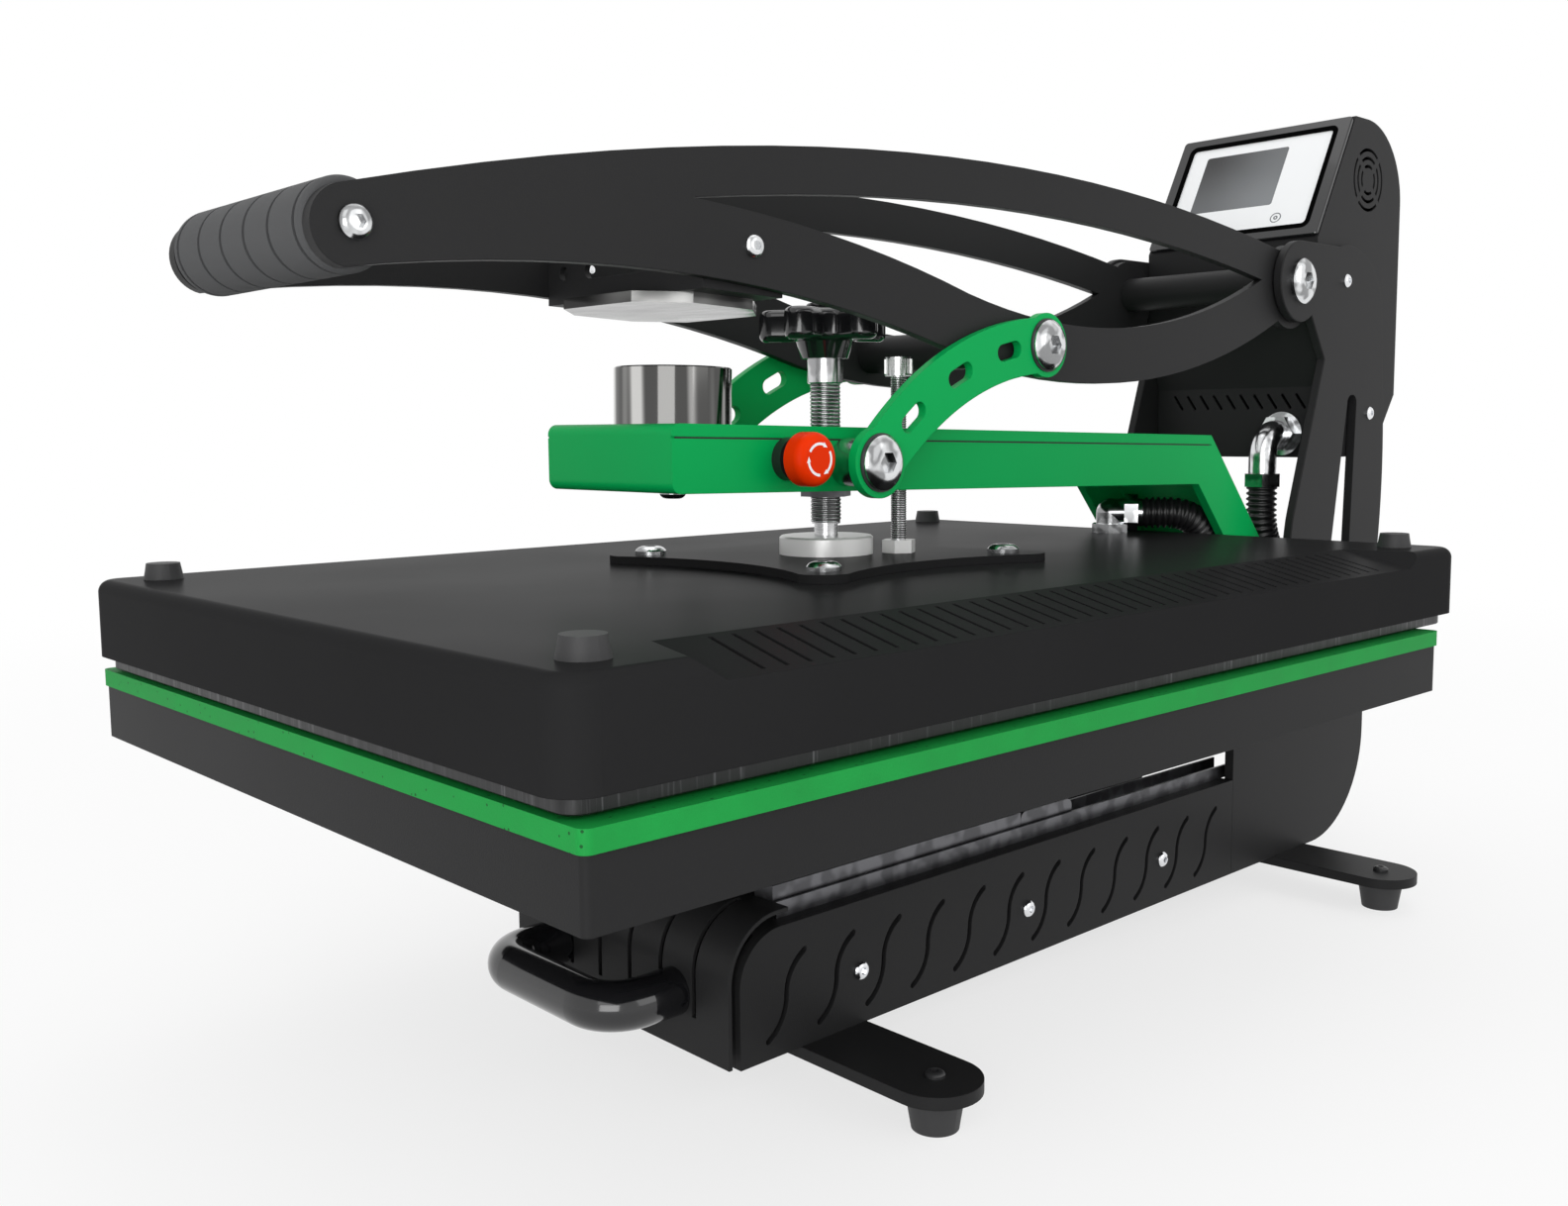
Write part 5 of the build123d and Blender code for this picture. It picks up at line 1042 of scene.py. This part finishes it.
def conduit_tube(name, way, sizes):
    # One stretch of the ribbed conduit along a way.
    line = bpy.data.meshes.new("way")
    line.from_pydata(way, [(n, n + 1) for n in range(len(way) - 1)], [])
    tube = grown(
        name,
        "Ribbed conduit",
        conduit_tree,
        line,
        outer=sizes.outer_radius,
        root=sizes.root_radius,
        pitch=sizes.rib_pitch,
        step=sizes.rib_pitch / 8,
        material=node_finish("conduit_hose"),
    )
    return settle(tube)


class PRESS_OT_conduit(bpy.types.Operator):
    """Lay the ribbed conduit from the column to the platen"""

    bl_idname = "press.conduit"
    bl_label = "Conduit"

    def execute(self, context):
        sizes = context.scene.press_conduit
        way = rounded(conduit_corners())
        pitch = sizes.rib_pitch
        ribs = int((way_length(way) - sizes.end_length) / pitch)
        rear, front = split_way(way, ribs * pitch)
        tube = conduit_tube("conduit", rear, sizes)
        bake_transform(tube)
        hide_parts("conduit_hose")
        end = conduit_tube("conduit_end", front, sizes)
        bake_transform(end)
        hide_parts("conduit_hose")
        return {"FINISHED"}


class PRESS_OT_stage(bpy.types.Operator):
    """Make the floor, the lamps, the world and the camera"""

    bl_idname = "press.stage"
    bl_label = "Stage"

    def execute(self, context):
        settings = context.scene.press_stage
        add_floor()
        add_world(context.scene)
        add_lamps(settings.lamp_level)
        add_camera(context.scene, settings.lens)
        context.scene.view_settings.view_transform = "Standard"
        return {"FINISHED"}


def add_floor():
    # A wide pale floor: it keeps the press's soft shadow nearby and fades to white far away.
    bpy.ops.mesh.primitive_plane_add(size=60.0, location=(0.0, 0.0, 0.0))
    floor = bpy.context.object
    floor.name = "floor"
    material = bpy.data.materials.new("pale floor")
    material.use_nodes = True
    tree = material.node_tree
    tree.nodes.clear()
    end = tree.nodes.new("ShaderNodeOutputMaterial")
    matte = tree.nodes.new("ShaderNodeBsdfDiffuse")
    matte.inputs["Color"].default_value = (0.86, 0.86, 0.86, 1.0)
    glow = tree.nodes.new("ShaderNodeEmission")
    away = tree.nodes.new("ShaderNodeVectorMath")
    away.operation = "LENGTH"
    tree.links.new(object_place(tree), away.inputs[0])
    fade = ranged(tree, away.outputs["Value"], 0.5, 2.2, 0.72, 1.0)
    rays = tree.nodes.new("ShaderNodeLightPath").outputs
    shown = calc(tree, "MAXIMUM", rays["Is Glossy Ray"], rays["Is Transmission Ray"])
    seen = calc(tree, "MAXIMUM", rays["Is Camera Ray"], shown)
    blend = tree.nodes.new("ShaderNodeMixShader")
    wire(tree, blend.inputs[0], calc(tree, "MULTIPLY", seen, fade))
    wire(tree, blend.inputs[1], matte.outputs[0])
    wire(tree, blend.inputs[2], glow.outputs[0])
    wire(tree, end.inputs["Surface"], blend.outputs[0])
    floor.data.materials.append(material)


def add_world(scene):
    # White to the eye and in metal and glass, and softer as a light.
    world = bpy.data.worlds.new("studio")
    scene.world = world
    world.use_nodes = True
    tree = world.node_tree
    tree.nodes.clear()
    end = tree.nodes.new("ShaderNodeOutputWorld")
    rays = tree.nodes.new("ShaderNodeLightPath").outputs
    shown = calc(tree, "MAXIMUM", rays["Is Glossy Ray"], rays["Is Transmission Ray"])
    seen = calc(tree, "MAXIMUM", rays["Is Camera Ray"], shown)
    level = calc(tree, "MAXIMUM", seen, 0.84)
    light = tree.nodes.new("ShaderNodeBackground")
    light.inputs["Color"].default_value = (1.0, 1.0, 1.0, 1.0)
    wire(tree, light.inputs["Strength"], level)
    wire(tree, end.inputs["Surface"], light.outputs[0])


def add_lamp(name, place, target, size, power):
    # A square soft lamp that faces a point.
    data = bpy.data.lights.new(name, "AREA")
    data.size = size
    data.energy = power
    lamp = bpy.data.objects.new(name, data)
    lamp.location = place
    lamp.rotation_euler = (Vector(target) - Vector(place)).to_track_quat("-Z", "Y").to_euler()
    bpy.context.scene.collection.objects.link(lamp)


def add_lamps(level):
    # A high lamp behind the camera, a weak low one for the underside, one over the top and one from the right.
    add_lamp("key lamp", (1.4, -2.2, 2.2), (0.0, 0.0, 0.25), 1.8, 13.0 * level)
    add_lamp("low lamp", (0.9, -1.3, 0.25), (0.0, -0.1, 0.05), 0.8, 9.0 * level)
    add_lamp("top lamp", (-0.4, 0.4, 2.6), (0.0, 0.0, 0.2), 2.2, 11.0 * level)
    add_lamp("side lamp", (2.6, 0.6, 1.3), (0.0, 0.0, 0.25), 1.8, 12.0 * level)


def add_camera(scene, lens):
    # The camera of the photograph: where it stands, how it is turned, and its lens.
    data = bpy.data.cameras.new("camera")
    data.sensor_width = 36.0
    data.lens = lens
    data.shift_x = -0.0032
    data.shift_y = -0.0141
    data.clip_start = 0.02
    stand = (0.5688, -0.6623, 0.3144)
    yaw = radians(47.15)
    pitch = radians(6.01)
    roll = radians(-0.51)
    ahead = Vector((-sin(yaw) * cos(pitch), cos(yaw) * cos(pitch), -sin(pitch)))
    level_right = ahead.cross(Vector((0.0, 0.0, 1.0))).normalized()
    level_up = level_right.cross(ahead)
    right = level_right * cos(roll) + level_up * sin(roll)
    up = level_up * cos(roll) - level_right * sin(roll)
    turn = Matrix((right, up, -ahead)).transposed().to_4x4()
    camera = bpy.data.objects.new("camera", data)
    camera.matrix_world = Matrix.Translation(stand) @ turn
    scene.collection.objects.link(camera)
    scene.camera = camera


PIECE_OPERATORS = (
    PRESS_OT_finishes,
    PRESS_OT_threads,
    PRESS_OT_knurl,
    PRESS_OT_arrows,
    PRESS_OT_seams,
    PRESS_OT_washers,
    PRESS_OT_touch_mark,
    PRESS_OT_shade_rim,
    PRESS_OT_conduit,
    PRESS_OT_stage,
)


class PRESS_PT_panel(bpy.types.Panel):
    """Buttons and sizes of the heat press"""

    bl_label = "Heat press"
    bl_idname = "PRESS_PT_panel"
    bl_space_type = "VIEW_3D"
    bl_region_type = "UI"
    bl_category = "Heat press"

    def draw(self, context):
        for operator in PIECE_OPERATORS:
            self.layout.operator(operator.bl_idname)
        for group in ("press_finish", "press_thread", "press_conduit", "press_mark", "press_stage"):
            settings = getattr(context.scene, group)
            for name in settings.bl_rna.properties.keys():
                if name not in ("rna_type", "name"):
                    self.layout.prop(settings, name)


SETTINGS = (FinishSettings, ThreadSettings, ConduitSettings, MarkSettings, StageSettings)
CLASSES = (*SETTINGS, *PIECE_OPERATORS, PRESS_PT_panel)


def register():
    for made in CLASSES:
        bpy.utils.register_class(made)
    bpy.types.Scene.press_finish = bpy.props.PointerProperty(type=FinishSettings)
    bpy.types.Scene.press_thread = bpy.props.PointerProperty(type=ThreadSettings)
    bpy.types.Scene.press_conduit = bpy.props.PointerProperty(type=ConduitSettings)
    bpy.types.Scene.press_mark = bpy.props.PointerProperty(type=MarkSettings)
    bpy.types.Scene.press_stage = bpy.props.PointerProperty(type=StageSettings)


def unregister():
    del bpy.types.Scene.press_stage
    del bpy.types.Scene.press_mark
    del bpy.types.Scene.press_conduit
    del bpy.types.Scene.press_thread
    del bpy.types.Scene.press_finish
    for made in reversed(CLASSES):
        bpy.utils.unregister_class(made)


def main():
    register()
    for operator in PIECE_OPERATORS:
        family, name = operator.bl_idname.split(".")
        getattr(getattr(bpy.ops, family), name)()


if __name__ == "__main__":
    main()
